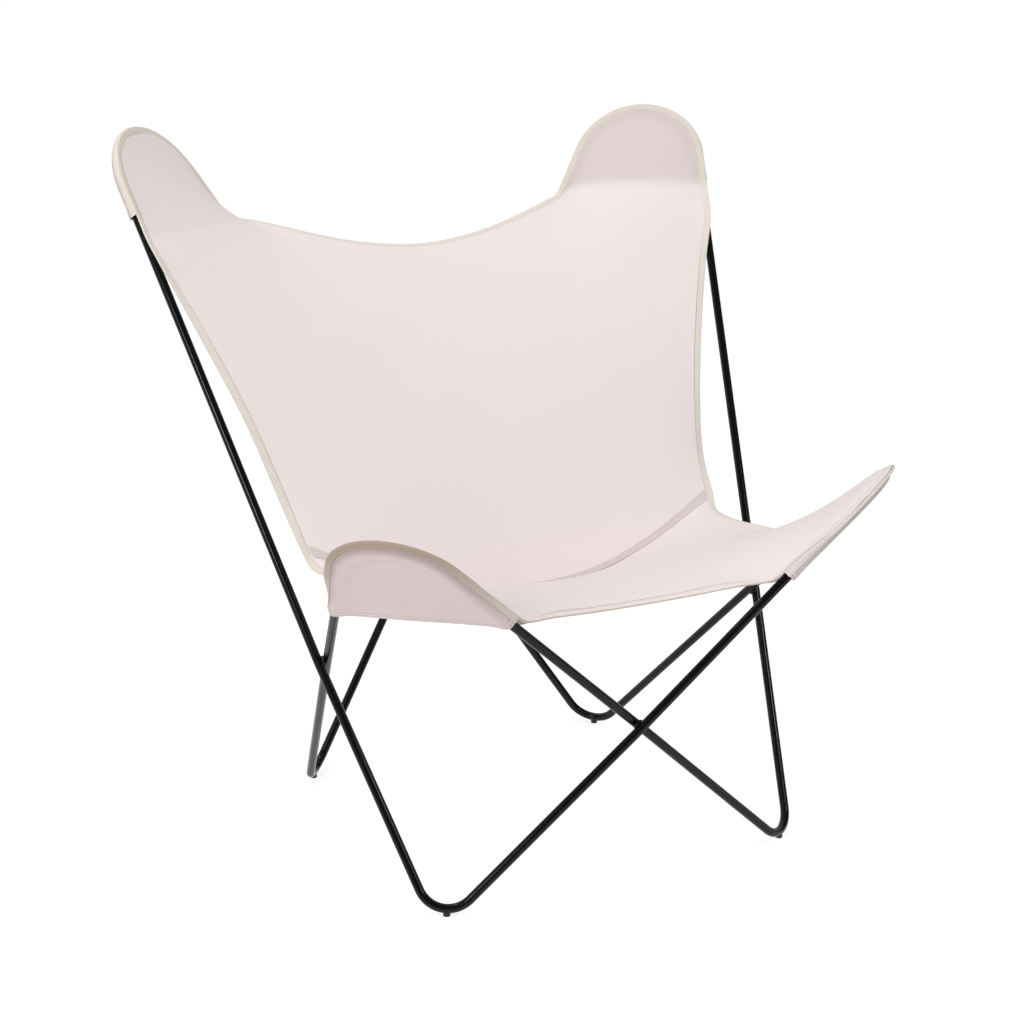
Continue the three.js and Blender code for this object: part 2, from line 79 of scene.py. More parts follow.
bpy.ops.object.camera_add(location=CAMERA_PLACE)
camera = bpy.context.object
camera.name = "camera"
line_of_sight = Vector(CAMERA_AIM) - camera.location
camera.rotation_euler = line_of_sight.to_track_quat("-Z", "Y").to_euler()
camera.rotation_euler.rotate_axis("Z", math.radians(ROLL))
camera.data.lens, camera.data.sensor_width = LENS, SENSOR
bpy.context.scene.camera = camera
print("camera distance in m:", round(line_of_sight.length, 3))


# %% [markdown]
# ## A short way to write node trees
# Finishes are sums of patterns. A socket wrapped in a small class lets those sums be written as
# plain Python, and one method makes every other kind of node.

# %% Sockets
class Socket:
    """An output of a node. Sums on it add Math nodes."""

    def __init__(self, tree, output):
        self.tree, self.output = tree, output

    def maths(self, operation, *values):
        return self.tree.node("Math", {"operation": operation}, dict(enumerate(values)))

    def __add__(self, other):
        return self.maths("ADD", self, other)

    def __radd__(self, other):
        return self.maths("ADD", other, self)

    def __sub__(self, other):
        return self.maths("SUBTRACT", self, other)

    def __rsub__(self, other):
        return self.maths("SUBTRACT", other, self)

    def __mul__(self, other):
        return self.maths("MULTIPLY", self, other)

    def __rmul__(self, other):
        return self.maths("MULTIPLY", other, self)

    def __gt__(self, other):
        return self.maths("GREATER_THAN", self, other)

    def sine(self):
        return self.maths("SINE", self)

    def size(self):
        return self.maths("ABSOLUTE", self)

    def least(self, other):
        return self.maths("MINIMUM", self, other)


print("a socket can be added, taken away, multiplied and compared")


# %% Trees
class Tree:
    """The nodes of a material or world."""

    def __init__(self, owner):
        owner.use_nodes = True
        self.nodes, self.links = owner.node_tree.nodes, owner.node_tree.links

    def node(self, kind, settings=None, sockets=None, out=0):
        """Makes a node, sets it up, and gives one of its outputs, by name or number."""
        made = self.nodes.new("ShaderNode" + kind)
        for name, value in (settings or {}).items():
            setattr(made, name, value)
        for name, value in (sockets or {}).items():
            self.put(made.inputs[name], value)
        return Socket(self, made.outputs[out]) if made.outputs else made

    def put(self, place, value):
        """Sets a socket to a value, or links it. A colour is written without its alpha."""
        if isinstance(value, Socket):
            self.links.new(value.output, place)
        else:
            place.default_value = (*value, 1) if place.type == "RGBA" else value

    def colour(self, share, plain, other):
        """A colour between two others. A Mix node takes its colours at 6 and 7 and gives one at 2."""
        return self.node("Mix", {"data_type": "RGBA"}, {0: share, 6: plain, 7: other}, out=2)

    def noise(self, vector, scale, detail):
        """A noise between 0 and 1."""
        return self.node("TexNoise", {}, {"Vector": vector, "Scale": scale, "Detail": detail})

    def bump(self, strength, distance, height):
        """Normals bent by a height."""
        return self.node("Bump", {}, {"Strength": strength, "Distance": distance, "Height": height})

    def seen_by_eye(self):
        """1 for a ray of the camera, a mirror image or a view through something, and 0 for light."""
        return (self.node("LightPath", out="Is Camera Ray") + self.node("LightPath", out="Is Glossy Ray")
                + self.node("LightPath", out="Is Transmission Ray")).least(1)


print("a tree can make nodes, set them and link them")

# %% [markdown]
# ## Studio
# The chair was shot on a white sweep. The floor and the world are pure white to the camera, but
# light the chair at a plain level. In reflections the sweep behind the chair is white and the room
# behind the camera is dim, which is what leaves gloss black bars black. The floor gives up part of
# its white to a real, lit surface, so the chair keeps a faint shadow under its feet.

# %% World
WHITE = (1, 1, 1)
SOFT_LEVEL, DIM_LEVEL = 0.63, 0.1
SWEEP_START, SWEEP_END = -0.1, 0.6

world = bpy.data.worlds.new("studio")
bpy.context.scene.world = world
studio = Tree(world)
studio.nodes.clear()
soft, white, dim = [studio.node("Background", {}, {"Color": WHITE, "Strength": level})
                    for level in (SOFT_LEVEL, 1, DIM_LEVEL)]
behind = studio.node("SeparateXYZ", {}, {0: studio.node("TexCoord", out="Generated")}, out="Y")
sweep_side = studio.node("MapRange", {"interpolation_type": "SMOOTHSTEP"},
                         {"Value": behind, "From Min": SWEEP_START, "From Max": SWEEP_END})
mirrored = studio.node("MixShader", {}, {0: sweep_side, 1: dim, 2: white})
glossy = studio.node("LightPath", out="Is Glossy Ray")
room = studio.node("MixShader", {}, {0: glossy, 1: white, 2: mirrored})
lit = studio.node("MixShader", {}, {0: studio.seen_by_eye(), 1: soft, 2: room})
studio.node("OutputWorld", {}, {"Surface": lit})
print("the world lights the chair at", SOFT_LEVEL)

# %% Floor
FLOOR_SIZE = 120
PAPER, FAINT, GLOW = 0.86, 0.36, 0.78

floor_finish = bpy.data.materials.new("sweep")
sweep = Tree(floor_finish)
sweep.nodes.clear()
paper, faint = [sweep.node("BsdfDiffuse", {}, {"Color": (grey, grey, grey)}) for grey in (PAPER, FAINT)]
glow = sweep.node("Emission", {}, {"Color": WHITE, "Strength": GLOW})
bright = sweep.node("AddShader", {}, {0: glow, 1: faint})
both = sweep.node("MixShader", {}, {0: sweep.seen_by_eye(), 1: paper, 2: bright})
sweep.node("OutputMaterial", {}, {"Surface": both})

deselect()
bpy.ops.mesh.primitive_plane_add(size=FLOOR_SIZE, location=(0, 0, 0))
floor = bpy.context.object
floor.name = "floor"
floor.data.materials.append(floor_finish)
print("floor in m:", FLOOR_SIZE)


# %% Lamps
def softbox(name, place, height, size, power):
    """A square lamp, turned to face a height over the middle of the floor."""
    deselect()
    bpy.ops.object.light_add(type="AREA", location=place)
    lamp = bpy.context.object
    lamp.name = name
    lamp.rotation_euler = (Vector((0, 0, height)) - Vector(place)).to_track_quat("-Z", "Y").to_euler()
    lamp.data.shape, lamp.data.size, lamp.data.energy = "SQUARE", size, power
    print(name, power, "W")


softbox("key_lamp", (1.7, -2.7, 2.7), 0.5, 0.6, 23)
softbox("fill_lamp", (-3.0, -1.4, 1.9), 0.5, 0.8, 32)
softbox("top_lamp", (-1.2, 0.6, 3.2), 0.4, 0.7, 20)
bpy.context.scene.view_settings.view_transform = "Standard"

# %% [markdown]
# ## Frame finish
# The bars are steel with a gloss black coat. It is nearly black face on, and it is the narrow
# bright line along each bar that says it is round and smooth. A coat is never quite flat, so a
# fine bump breaks that line up a little.

# %% Gloss black paint
paint = bpy.data.materials.new("gloss_black")
coat = Tree(paint)
gloss = coat.nodes["Principled BSDF"].inputs
place = coat.node("TexCoord", out="Object")
speck, wear = coat.noise(place, 900, 2), coat.noise(place, 35, 3)
coat.put(gloss["Base Color"], coat.colour(wear, (0.0022, 0.0022, 0.0026), (0.005, 0.005, 0.006)))
coat.put(gloss["Roughness"], 0.14 + 0.08 * wear)
coat.put(gloss["Normal"], coat.bump(0.25, 0.1 * MM, speck))
coat.put(gloss["Specular IOR Level"], 0.23)
print("finish:", paint.name)

# %% Glide plastic
plastic = bpy.data.materials.new("black_plastic")
mould = Tree(plastic)
dull = mould.nodes["Principled BSDF"].inputs
grain = mould.noise(mould.node("TexCoord", out="Object"), 1400, 3)
mould.put(dull["Base Color"], mould.colour(grain, (0.006, 0.006, 0.006), (0.014, 0.014, 0.014)))
mould.put(dull["Roughness"], 0.5 + 0.12 * grain)
mould.put(dull["Normal"], mould.bump(0.3, 0.1 * MM, grain))
print("finish:", plastic.name)


# %% [markdown]
# ## Canvas and tape
# The sling is heavy cotton duck: a plain weave, one thread over and one under, pulled tight. The
# pattern follows the flat cut of each piece through its UV map, which is in metres. In each small
# square either the warp or the weft thread is on top, and thick and thin places in the yarn shade
# it in streaks; where a thread dips low its colour is painted darker, as painted shade in the
# hollows of the weave. A mesh can also mark places where its cloth is painted darker, and these
# marks are all painted shade: where a pocket backs the canvas and stops the light, where a bar's
# shadow falls through it, along the rims of the ears and the folds and edges of the tape, and in
# the grooves of a pocket.

# %% A woven finish
def woven(name, weave, plain, shaded, marked=None):
    """Plain-woven cloth. A weave is the pitch and the height of its threads, and marked is the colour
    of painted shade where the attribute "mark" of the mesh is 1."""
    pitch, height = weave
    cloth = bpy.data.materials.new(name)
    tree = Tree(cloth)
    face = tree.nodes["Principled BSDF"].inputs
    flat = tree.node("UVMap", {"uv_map": "UVMap"})
    across, along = [tree.node("SeparateXYZ", {}, {0: flat}, out=axis) for axis in "XY"]
    warp, weft = (across * (math.pi / pitch)).sine(), (along * (math.pi / pitch)).sine()
    over = (warp * weft) > 0
    raised = over * warp.size() + (1 - over) * weft.size()
    long_slub, wide_slub = [tree.noise(tree.node("Mapping", {}, {0: flat, "Scale": scale}), 1, 1)
                            for scale in ((900, 25, 1), (25, 900, 1))]
    slub = 0.5 * (long_slub + wide_slub)
    cloudy = tree.noise(tree.node("TexCoord", out="Object"), 5, 2)
    # Where the threads lie low the colour moves towards shaded: painted shade in the hollows of the weave.
    colour = tree.colour(0.35 * slub + 0.3 * cloudy + 0.2 * (1 - raised), plain, shaded)
    if marked:
        colour = tree.colour(tree.node("Attribute", {"attribute_name": "mark"}, out="Fac"), colour, marked)
    tree.put(face["Base Color"], colour)
    tree.put(face["Roughness"], 0.82 + 0.1 * slub)
    tree.put(face["Specular IOR Level"], 0.2)
    tree.put(face["Normal"], tree.bump(0.5, height, raised + 0.6 * slub))
    print("finish:", name)
    return cloth


DUCK, RIBBON, TWIST = (0.9 * MM, 0.12 * MM), (0.6 * MM, 0.08 * MM), (0.25 * MM, 0.05 * MM)
# The last colour of a finish, where one is given, is its painted shade, laid on where a mesh marks it.
TAPE_SHADE = (0.39, 0.29, 0.22)
canvas = woven("cotton_duck", DUCK, (0.855, 0.782, 0.772), (0.795, 0.712, 0.70), (0.64, 0.55, 0.545))
# The pocket is the same duck as the canvas, given darker colours as painted shade.
pocket_cloth = woven("pocket_duck", DUCK, (0.79, 0.675, 0.67), (0.73, 0.615, 0.61), (0.40, 0.31, 0.30))
tape = woven("edge_tape", RIBBON, (0.79, 0.73, 0.665), (0.71, 0.645, 0.575), TAPE_SHADE)
front_tape = woven("front_tape", RIBBON, (0.84, 0.762, 0.742), (0.78, 0.70, 0.675), TAPE_SHADE)
# The seam band is the same duck as the canvas, given darker colours as painted shade.
seam_cloth = woven("seam_duck", DUCK, (0.70, 0.62, 0.61), (0.64, 0.56, 0.55))
thread = woven("sewing_thread", TWIST, (0.74, 0.67, 0.61), (0.62, 0.54, 0.48))

# %% [markdown]
# ## Bars
# Each loop is one bar. A bender feeds it straight, swings it round a former, and feeds it again,
# and the mesh is made the same way: a ring is extruded along each straight leg and spun round
# each bend. The corners below are where the straight legs would meet, in millimetres, and the
# bends round them off. Each leg that goes from a horn to the front or back crossing is aimed at the
# middle of that crossing. It runs straight until it is past its pocket, and only then turns aside
# by half a bar, to miss the other one.

# %% The corners of the wire frame
ROD_RADIUS, GLIDE_HEIGHT = 6, 3.6
HALF_CROSS = 6.15
FRONT_LINE = -307.7
SIDES = {"left": -1, "right": 1}
feet = {"front": (266, FRONT_LINE, 0), "back": (238, FRONT_LINE + 500, 0)}
peaks = {"front": (408, FRONT_LINE - 94, 586), "back": (509, FRONT_LINE + 760, 1160)}
bend_radius = {"foot": 40, "front": 72, "back": 92}
straight = {"front": 132, "back": 78}


def on_side(side, point):
    """A point of the chair's right half, or its mirror image for a side of -1."""
    return Vector((side * point[0], point[1], point[2]))


def front_weld(lead):
    """Where a bar passes the front crossing. A lead of -1 is the bar in front, 1 the one behind."""
    return Vector((0, FRONT_LINE - 38 + lead * HALF_CROSS, 224))


def back_weld(lead):
    """The same at the back crossing."""
    return Vector((0, FRONT_LINE + 573 + lead * HALF_CROSS, 345))


def side_weld(side, out):
    """Where a bar passes the crossing of one side. Out is 1 for the outer bar and -1 for the inner."""
    return Vector((side * (329 + out * HALF_CROSS), FRONT_LINE + 205, 286))


print("bars cross with their middles this far apart, mm:", 2 * HALF_CROSS)


# %% A bend between two legs
class Bend:
    """An arc that rounds off a corner, with the plane that it lies in."""

    def __init__(self, corner, before, after, radius):
        start, end = (before - corner).normalized(), (after - corner).normalized()
        self.half = start.angle(end) / 2
        self.down = (start + end).normalized()
        self.across = (end - start).normalized()
        self.away = self.down.cross(self.across)
        self.under = self.away if self.away.z < 0 else -self.away
        self.radius = radius
        self.centre = corner + self.down * (radius / math.sin(self.half))
        self.reach = math.pi / 2 - self.half

    def spot(self, turn, margin=0, height=0):
        """A point at an angle round the bend, a margin outside the bar and a height under its
        plane."""
        out = self.radius + margin
        return (self.centre - self.down * (out * math.cos(turn)) + self.across * (out * math.sin(turn))
                + self.under * height)

    def leg(self, side, length, margin=0, height=0):
        """The same along a straight leg, past the bend. Side is -1 before it and 1 after it."""
        run = self.down * math.cos(self.half) + self.across * (side * math.sin(self.half))
        return self.spot(side * self.reach, margin, height) + run * length

    def laid_flat(self, arrow):
        """An arrow seen straight onto the plane of the bend, with the tip of the bend upwards."""
        return np.array((arrow.dot(self.across), -arrow.dot(self.down)))

    def lowest(self):
        return min((self.spot(self.reach * (k / 60 - 1)) for k in range(121)), key=lambda p: p.z)


def horn_bend(kind, side):
    """The bend at the tip of a horn."""
    weld, out = {"front": (front_weld, -1), "back": (back_weld, 1)}[kind]
    return Bend(on_side(side, peaks[kind]), weld(0), side_weld(side, out), bend_radius[kind])


def foot_bend(foot, before, after):
    """A foot's bend, lowered or raised until its bar rests on the glide."""
    corner = Vector(foot)
    for _ in range(6):
        low = Bend(corner, before, after, bend_radius["foot"]).lowest()
        corner.z += GLIDE_HEIGHT + ROD_RADIUS - low.z
    return Bend(corner, before, after, bend_radius["foot"])


print("back horn bend, degrees:", round(math.degrees(2 * horn_bend("back", 1).reach), 1))

# %% One loop
RING_POINTS, STEPS_PER_RADIAN = 32, 18
BUTT_GAP = 0.003


def bar_loop(name, side):
    """Feeds a ring round the loop that has the front foot of one side. Its ends meet, but for a
    hair's width, inside a back pocket."""
    back, front = horn_bend("back", side), horn_bend("front", -side)
    foot = foot_bend(on_side(side, feet["front"]), side_weld(side, 1), front_weld(side))
    heel = foot_bend(on_side(-side, feet["back"]), side_weld(-side, -1), back_weld(side))
    at = back.spot(0)
    deselect()
    bpy.ops.mesh.primitive_circle_add(
        vertices=RING_POINTS, radius=ROD_RADIUS * MM, fill_type="NOTHING", location=at * MM,
        rotation=back.across.to_track_quat("Z", "Y").to_euler())
    bar = bpy.context.object
    bar.name = name
    bpy.ops.object.transform_apply(location=True, rotation=True, scale=True)
    bpy.ops.object.mode_set(mode="EDIT")
    bpy.ops.mesh.select_all(action="SELECT")

    def swing(bend, begin, end):
        """Spins the ring round part of a bend."""
        nonlocal at
        steps = max(4, round(abs(end - begin) * STEPS_PER_RADIAN))
        bpy.ops.mesh.spin(steps=steps, angle=end - begin, center=bend.centre * MM, axis=bend.away)
        at = bend.spot(end)

    def feed(*points):
        """Extrudes the ring from point to point."""
        nonlocal at
        for point in points:
            bpy.ops.mesh.extrude_region_move(TRANSFORM_OT_translate={"value": (point - at) * MM})
            at = point

    swing(back, 0, back.reach)
    feed(side_weld(side, 1), foot.spot(-foot.reach))
    swing(foot, -foot.reach, foot.reach)
    feed(front_weld(side), front.leg(-1, straight["front"]), front.spot(-front.reach))
    swing(front, -front.reach, front.reach)
    feed(side_weld(-side, -1), heel.spot(-heel.reach))
    swing(heel, -heel.reach, heel.reach)
    feed(back_weld(side), back.leg(-1, straight["back"]), back.spot(-back.reach))
    swing(back, -back.reach, -BUTT_GAP)
    bpy.ops.mesh.select_all(action="DESELECT")
    bpy.ops.mesh.select_non_manifold()
    bpy.ops.mesh.fill()
    bpy.ops.mesh.select_all(action="SELECT")
    bpy.ops.mesh.normals_make_consistent(inside=False)
    bpy.ops.object.mode_set(mode="OBJECT")
    bpy.ops.object.shade_smooth_by_angle(angle=math.radians(40))
    bar.data.materials.append(paint)
    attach(bar, "root")
    print(name, len(bar.data.polygons), "faces")
    return {"bar": bar, "front_foot": foot, "back_foot": heel}


left_loop = bar_loop("bent_bar_left", -1)
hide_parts("rod_loop_left")
right_loop = bar_loop("bent_bar_right", 1)
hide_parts("rod_loop_right")

# %% [markdown]
# ## Welds and glides
# A weld bead is a puddle of metal laid in small overlapping steps, so it is a flattened ball with
# shallow ripples, sunk in the crotch between two bars. A glide is a short plug of plastic with its
# edges rounded, so that it doesn't dig into a floor.

# %% Weld beads
BEAD_RADIUS, BEAD_FLATNESS = 8, 0.69
RIPPLE_DEPTH, RIPPLES = 0.025, 14


def weld_bead(name, node, one, other):
    """A rippled bead between two bars."""
    middle, axis = (one + other) / 2 * MM, (other - one).normalized()
    deselect()
    bpy.ops.mesh.primitive_uv_sphere_add(
        segments=32, ring_count=20, radius=BEAD_RADIUS * MM, location=middle,
        rotation=(other - one).to_track_quat("Z", "Y").to_euler(), scale=(1, 1, BEAD_FLATNESS))
    bead = bpy.context.object
    bead.name = name
    bpy.ops.object.transform_apply(location=True, rotation=True, scale=True)
    one_way = axis.orthogonal()
    for vert in bead.data.vertices:
        out = vert.co - middle
        turn = math.atan2(out.dot(one_way), out.dot(axis.cross(one_way)))
        wave = math.sin(RIPPLES * turn + 10 * out.dot(axis) / MM)
        vert.co = middle + out * (1 + RIPPLE_DEPTH * wave)
    bpy.ops.object.shade_smooth()
    bead.data.materials.append(paint)
    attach(bead, "root")
    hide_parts(node)


crossings = {"front": (front_weld(-1), front_weld(1)), "back": (back_weld(-1), back_weld(1)),
             "left": (side_weld(-1, -1), side_weld(-1, 1)), "right": (side_weld(1, -1), side_weld(1, 1))}
for word, (one, other) in crossings.items():
    weld_bead("bead_" + word, "weld_" + word, one, other)
print("weld beads:", list(crossings))

# %% Glides
GLIDE_RADIUS, GLIDE_ROUNDING = 4.75, 0.7


def glide(name, node, bend):
    """A plug under the lowest spot of a foot's bend, its top sunk into the bar."""
    low = bend.lowest()
    top = low.z - ROD_RADIUS / 2
    deselect()
    bpy.ops.mesh.primitive_cylinder_add(
        vertices=36, radius=GLIDE_RADIUS * MM, depth=top * MM,
        location=(low.x * MM, low.y * MM, top / 2 * MM))
    plug = bpy.context.object
    plug.name = name
    bpy.ops.object.transform_apply(location=True, rotation=True, scale=True)
    bpy.ops.object.mode_set(mode="EDIT")
    bpy.ops.mesh.select_all(action="DESELECT")
    bpy.ops.mesh.select_mode(type="EDGE")
    shape = bmesh.from_edit_mesh(plug.data)
    for edge in shape.edges:
        ends = [vert.co.z for vert in edge.verts]
        edge.select_set(max(ends) < 0.01 * MM or min(ends) > (top - 0.01) * MM)
    bpy.ops.mesh.bevel(offset=GLIDE_ROUNDING * MM, segments=3)
    bpy.ops.mesh.select_mode(type="VERT")
    bpy.ops.object.mode_set(mode="OBJECT")
    bpy.ops.object.shade_smooth_by_angle(angle=math.radians(35))
    plug.data.materials.append(plastic)
    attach(plug, "root")
    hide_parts(node)
    print(name, "stands at", [round(low.x), round(low.y)])


for loop, near, far in ((left_loop, "left", "right"), (right_loop, "right", "left")):
    glide("plug_front_" + near, "glide_front_" + near, loop["front_foot"])
    glide("plug_back_" + far, "glide_back_" + far, loop["back_foot"])


# %% [markdown]
# ## Reading a cloth shell back as a grid
# A CAD panel is a thin shell whose two sides are grids of triangles. To get a fine, smooth sheet
# in exactly the same place, the side that faces the sitter is read back row by row, and a smooth
# curve is run through its points both ways. That keeps the form and takes the facets out.

# %% The side of a shell that faces the sitter
SITTER = Vector((0, -0.1, 0.8))
SIDE_TURN = 50


def sitter_side(node):
    """One side of a cloth shell, as a mesh of its own. A side is a run of faces that turn only
    gently from one to the next, and of the two largest it is the nearer to the sitter."""
    shell = bmesh.new()
    shell.from_mesh(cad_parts[node].data)
    bmesh.ops.remove_doubles(shell, verts=shell.verts, dist=0.01 * MM)
    shell.normal_update()
    sides, met = [], set()
    for first in shell.faces:
        if first in met:
            continue
        met.add(first)
        side, queue = [], [first]
        while queue:
            face = queue.pop()
            side.append(face)
            for near in {n for edge in face.edges for n in edge.link_faces} - met:
                if math.degrees(near.normal.angle(face.normal)) < SIDE_TURN:
                    met.add(near)
                    queue.append(near)
        sides.append(side)
    broad = sorted(sides, key=lambda side: -sum(face.calc_area() for face in side))[:2]
    nearer = set(min(broad, key=lambda side: sum(
        (face.calc_center_median() - SITTER).length for face in side) / len(side)))
    bmesh.ops.delete(shell, geom=[face for face in shell.faces if face not in nearer], context="FACES")
    shell.normal_update()
    return shell


print("a side ends where faces turn by", SIDE_TURN, "degrees")


# %% The rows of its grid
def round_the_rim(shell):
    """The points round the edge of a side, in order, from one of its corners that has one face."""
    rim = [next(vert for vert in shell.verts if len(vert.link_faces) == 1)]
    before = None
    while True:
        ahead = [edge.other_vert(rim[-1]) for edge in rim[-1].link_edges if edge.is_boundary]
        vert = next(v for v in ahead if v is not before)
        before = rim[-1]
        if vert is rim[0]:
            return rim
        rim.append(vert)


def rows_of(node, score):
    """The points of a shell's sitter side, row by row, and their normals. Row 0 is the side of
    the grid that scores highest."""
    shell = sitter_side(node)
    rim = round_the_rim(shell)
    corners = [i for i, vert in enumerate(rim) if len(vert.link_faces) < 3]
    twice = rim + rim
    ends = [b if b > a else b + len(rim) for a, b in zip(corners, corners[1:] + corners[:1])]
    stretch = [twice[a:b + 1] for a, b in zip(corners, ends)]
    best = max(range(4), key=lambda k: score(np.array([vert.co for vert in stretch[k]])))
    left, right = stretch[best - 1][::-1], stretch[(best + 1) % 4]
    row, rows, met = stretch[best], [], set()
    while True:
        rows.append(row)
        met.update(row)
        if len(rows) == len(left):
            break
        below = {edge.other_vert(vert) for vert in row for edge in vert.link_edges} - met
        row = [left[len(rows)]]
        while row[-1] is not right[len(rows)]:
            next_to = {edge.other_vert(row[-1]) for edge in row[-1].link_edges}
            row.append(next(iter((next_to & below) - set(row))))
    points = np.array([[vert.co for vert in row] for row in rows])
    normals = np.array([[vert.normal for vert in row] for row in rows])
    shell.free()
    if points[0, 0, 0] > points[0, -1, 0]:
        points, normals = points[:, ::-1], normals[:, ::-1]
    print(node, "grid", points.shape[:2])
    return points, normals


back_grid, back_normals = rows_of("back_panel", lambda side: side[:, 2].mean())
seat_grid, seat_normals = rows_of("seat_panel", lambda side: side[:, 1].mean())


# %% Smooth curves through points
def through(places, values, wanted):
    """A natural cubic curve through values at places along the first axis, read at other places.
    Beyond its ends it runs straight on."""
    n = len(places)
    gap = np.diff(places)
    flat = values.reshape(n, -1)
    rise = np.diff(flat, axis=0) / gap[:, None]
    system, right = np.eye(n), np.zeros_like(flat)
    for i in range(1, n - 1):
        system[i, i - 1:i + 2] = gap[i - 1], 2 * (gap[i - 1] + gap[i]), gap[i]
        right[i] = 6 * (rise[i] - rise[i - 1])
    bow = np.linalg.solve(system, right)
    inside = np.clip(wanted, places[0], places[-1])
    k = np.clip(np.searchsorted(places, inside, side="right") - 1, 0, n - 2)
    a, b, g = inside - places[k], places[k + 1] - inside, gap[k]
    a, b, g = a[:, None], b[:, None], g[:, None]
    out = ((bow[k] * b**3 + bow[k + 1] * a**3) / (6 * g)
           + (flat[k] / g - bow[k] * g / 6) * b + (flat[k + 1] / g - bow[k + 1] * g / 6) * a)
    slope = np.where(wanted[:, None] < places[0],
                     rise[0] - gap[0] * (2 * bow[0] + bow[1]) / 6,
                     rise[-1] + gap[-1] * (bow[-2] + 2 * bow[-1]) / 6)
    return (out + slope * (wanted - inside)[:, None]).reshape(len(wanted), *values.shape[1:])


def runs(grid):
    """The mean length run from the first row to each row of a grid."""
    steps = np.linalg.norm(np.diff(grid[..., :3], axis=0), axis=-1).mean(axis=1)
    return np.concatenate([[0], np.cumsum(steps)])


def refined(grid, pitch, spare):
    """A grid run smooth at about one pitch. Spare is how far it grows past each of its edges."""
    for axis, (before, after) in enumerate(spare):
        turned = np.swapaxes(grid, 0, axis)
        place = runs(turned)
        count = max(3, round((place[-1] + before + after) / pitch))
        wanted = np.linspace(-before, place[-1] + after, count)
        grid = np.swapaxes(through(place, turned, wanted), 0, axis)
    return grid


print("back panel runs", np.round(runs(back_grid)[-1], 3), "m from top to seam on average")


# %% Sheet meshes
def facing_of(grid):
    """The unit normals of a grid of points."""
    across = np.gradient(grid[..., :3], axis=1)
    down = np.gradient(grid[..., :3], axis=0)
    normal = np.cross(across, down)
    return normal / (np.linalg.norm(normal, axis=-1, keepdims=True) + 1e-12)


def areas(grid):
    """The area of each cell of a grid."""
    one, two = grid[1:, 1:] - grid[:-1, :-1], grid[1:, :-1] - grid[:-1, 1:]
    if grid.shape[-1] == 2:
        return (one[..., 0] * two[..., 1] - one[..., 1] * two[..., 0]) / 2
    return np.linalg.norm(np.cross(one, two), axis=-1) / 2


def built(name, points, faces, uvs, material):
    """A piece from its points, its faces and the UV of each face corner."""
    mesh = bpy.data.meshes.new(name)
    mesh.from_pydata(np.asarray(points).tolist(), [], faces)
    layer = mesh.uv_layers.new(name="UVMap")
    layer.data.foreach_set("uv", np.asarray(uvs, np.float32).ravel())
    mesh.materials.append(material)
    piece = bpy.data.objects.new(name, mesh)
    bpy.context.collection.objects.link(piece)
    return piece


def sheet_mesh(name, grid, uvs, material, flip=False):
    """A piece from a grid of points, with its flat cut as the UV map."""
    rows, columns = grid.shape[:2]
    index = np.arange(rows * columns).reshape(rows, columns)
    quads = np.stack([index[:-1, :-1], index[1:, :-1], index[1:, 1:], index[:-1, 1:]], -1).reshape(-1, 4)
    if flip:
        quads = quads[:, ::-1]
    return built(name, grid[..., :3].reshape(-1, 3), quads.tolist(), uvs.reshape(-1, 2)[quads.ravel()],
                 material)


def thickened(piece, thickness, offset, smooth_to=50):
    """Gives a sheet its thickness, and smooths it up to an angle in degrees. An offset of -1 lays
    it all under the sheet, and 0 half on each side."""
    make_active(piece)
    wall = piece.modifiers.new("thickness", "SOLIDIFY")
    wall.thickness, wall.offset = thickness, offset
    bpy.ops.object.modifier_apply(modifier=wall.name)
    bpy.ops.object.shade_smooth_by_angle(angle=math.radians(smooth_to))


print("back panel in m2:", round(areas(back_grid).sum(), 3))


# %% Flat cuts
def flat_cut(grid):
    """The flat cut of a sheet: its points unwrapped at full size, with its rows along U."""
    rows, columns = grid.shape[:2]
    piece = sheet_mesh("pattern", grid, np.zeros((rows, columns, 2)), canvas)
    make_active(piece)
    bpy.ops.object.mode_set(mode="EDIT")
    bpy.ops.mesh.select_all(action="SELECT")
    bpy.ops.uv.unwrap(method="ANGLE_BASED", margin=0)
    bpy.ops.object.mode_set(mode="OBJECT")
    flat = np.zeros((rows * columns, 2))
    for loop, uv in zip(piece.data.loops, piece.data.uv_layers["UVMap"].data):
        flat[loop.vertex_index] = uv.uv
    bpy.data.objects.remove(piece)
    flat = flat.reshape(rows, columns, 2)
    cloth = areas(grid).sum()
    flat = flat * math.sqrt(cloth / abs(areas(flat).sum()))
    run = flat[rows // 2, -1] - flat[rows // 2, 0]
    turn = -math.atan2(run[1], run[0])
    spin = np.array([[math.cos(turn), -math.sin(turn)], [math.sin(turn), math.cos(turn)]])
    return flat @ spin.T, cloth


back_flat, back_area = flat_cut(back_grid)
seat_flat, seat_area = flat_cut(seat_grid)
print("cloth areas in m2:", round(back_area, 3), round(seat_area, 3))

# %% [markdown]
# ## Horn planes
# A pocket and the shaded patch that it leaves on the canvas are both set out from the bend of the
# horn inside it, so the four horns are written down once as bends. Each mouth is given by how far
# it lies down the two legs of its horn, in millimetres: the leg to the middle crossing first, then
# the leg to the side.

# %% Horns
horns = {kind + "_" + word: horn_bend(kind, side)
         for word, side in SIDES.items() for kind in ("back", "front")}
mouths = {word: (66, 42) if "back" in word else (117, 117) for word in horns}


def steps_of(values, start, end):
    """0 below start, 1 above end, and smooth between."""
    share = np.clip((values - start) / (end - start), 0, 1)
    return share * share * (3 - 2 * share)


def in_plane(points, horn):
    """How far points lie below the middle of a horn's bend and across from it, in its plane."""
    rel = points - np.array(horn.centre * MM)
    return rel @ np.array(horn.down), rel @ np.array(horn.across)


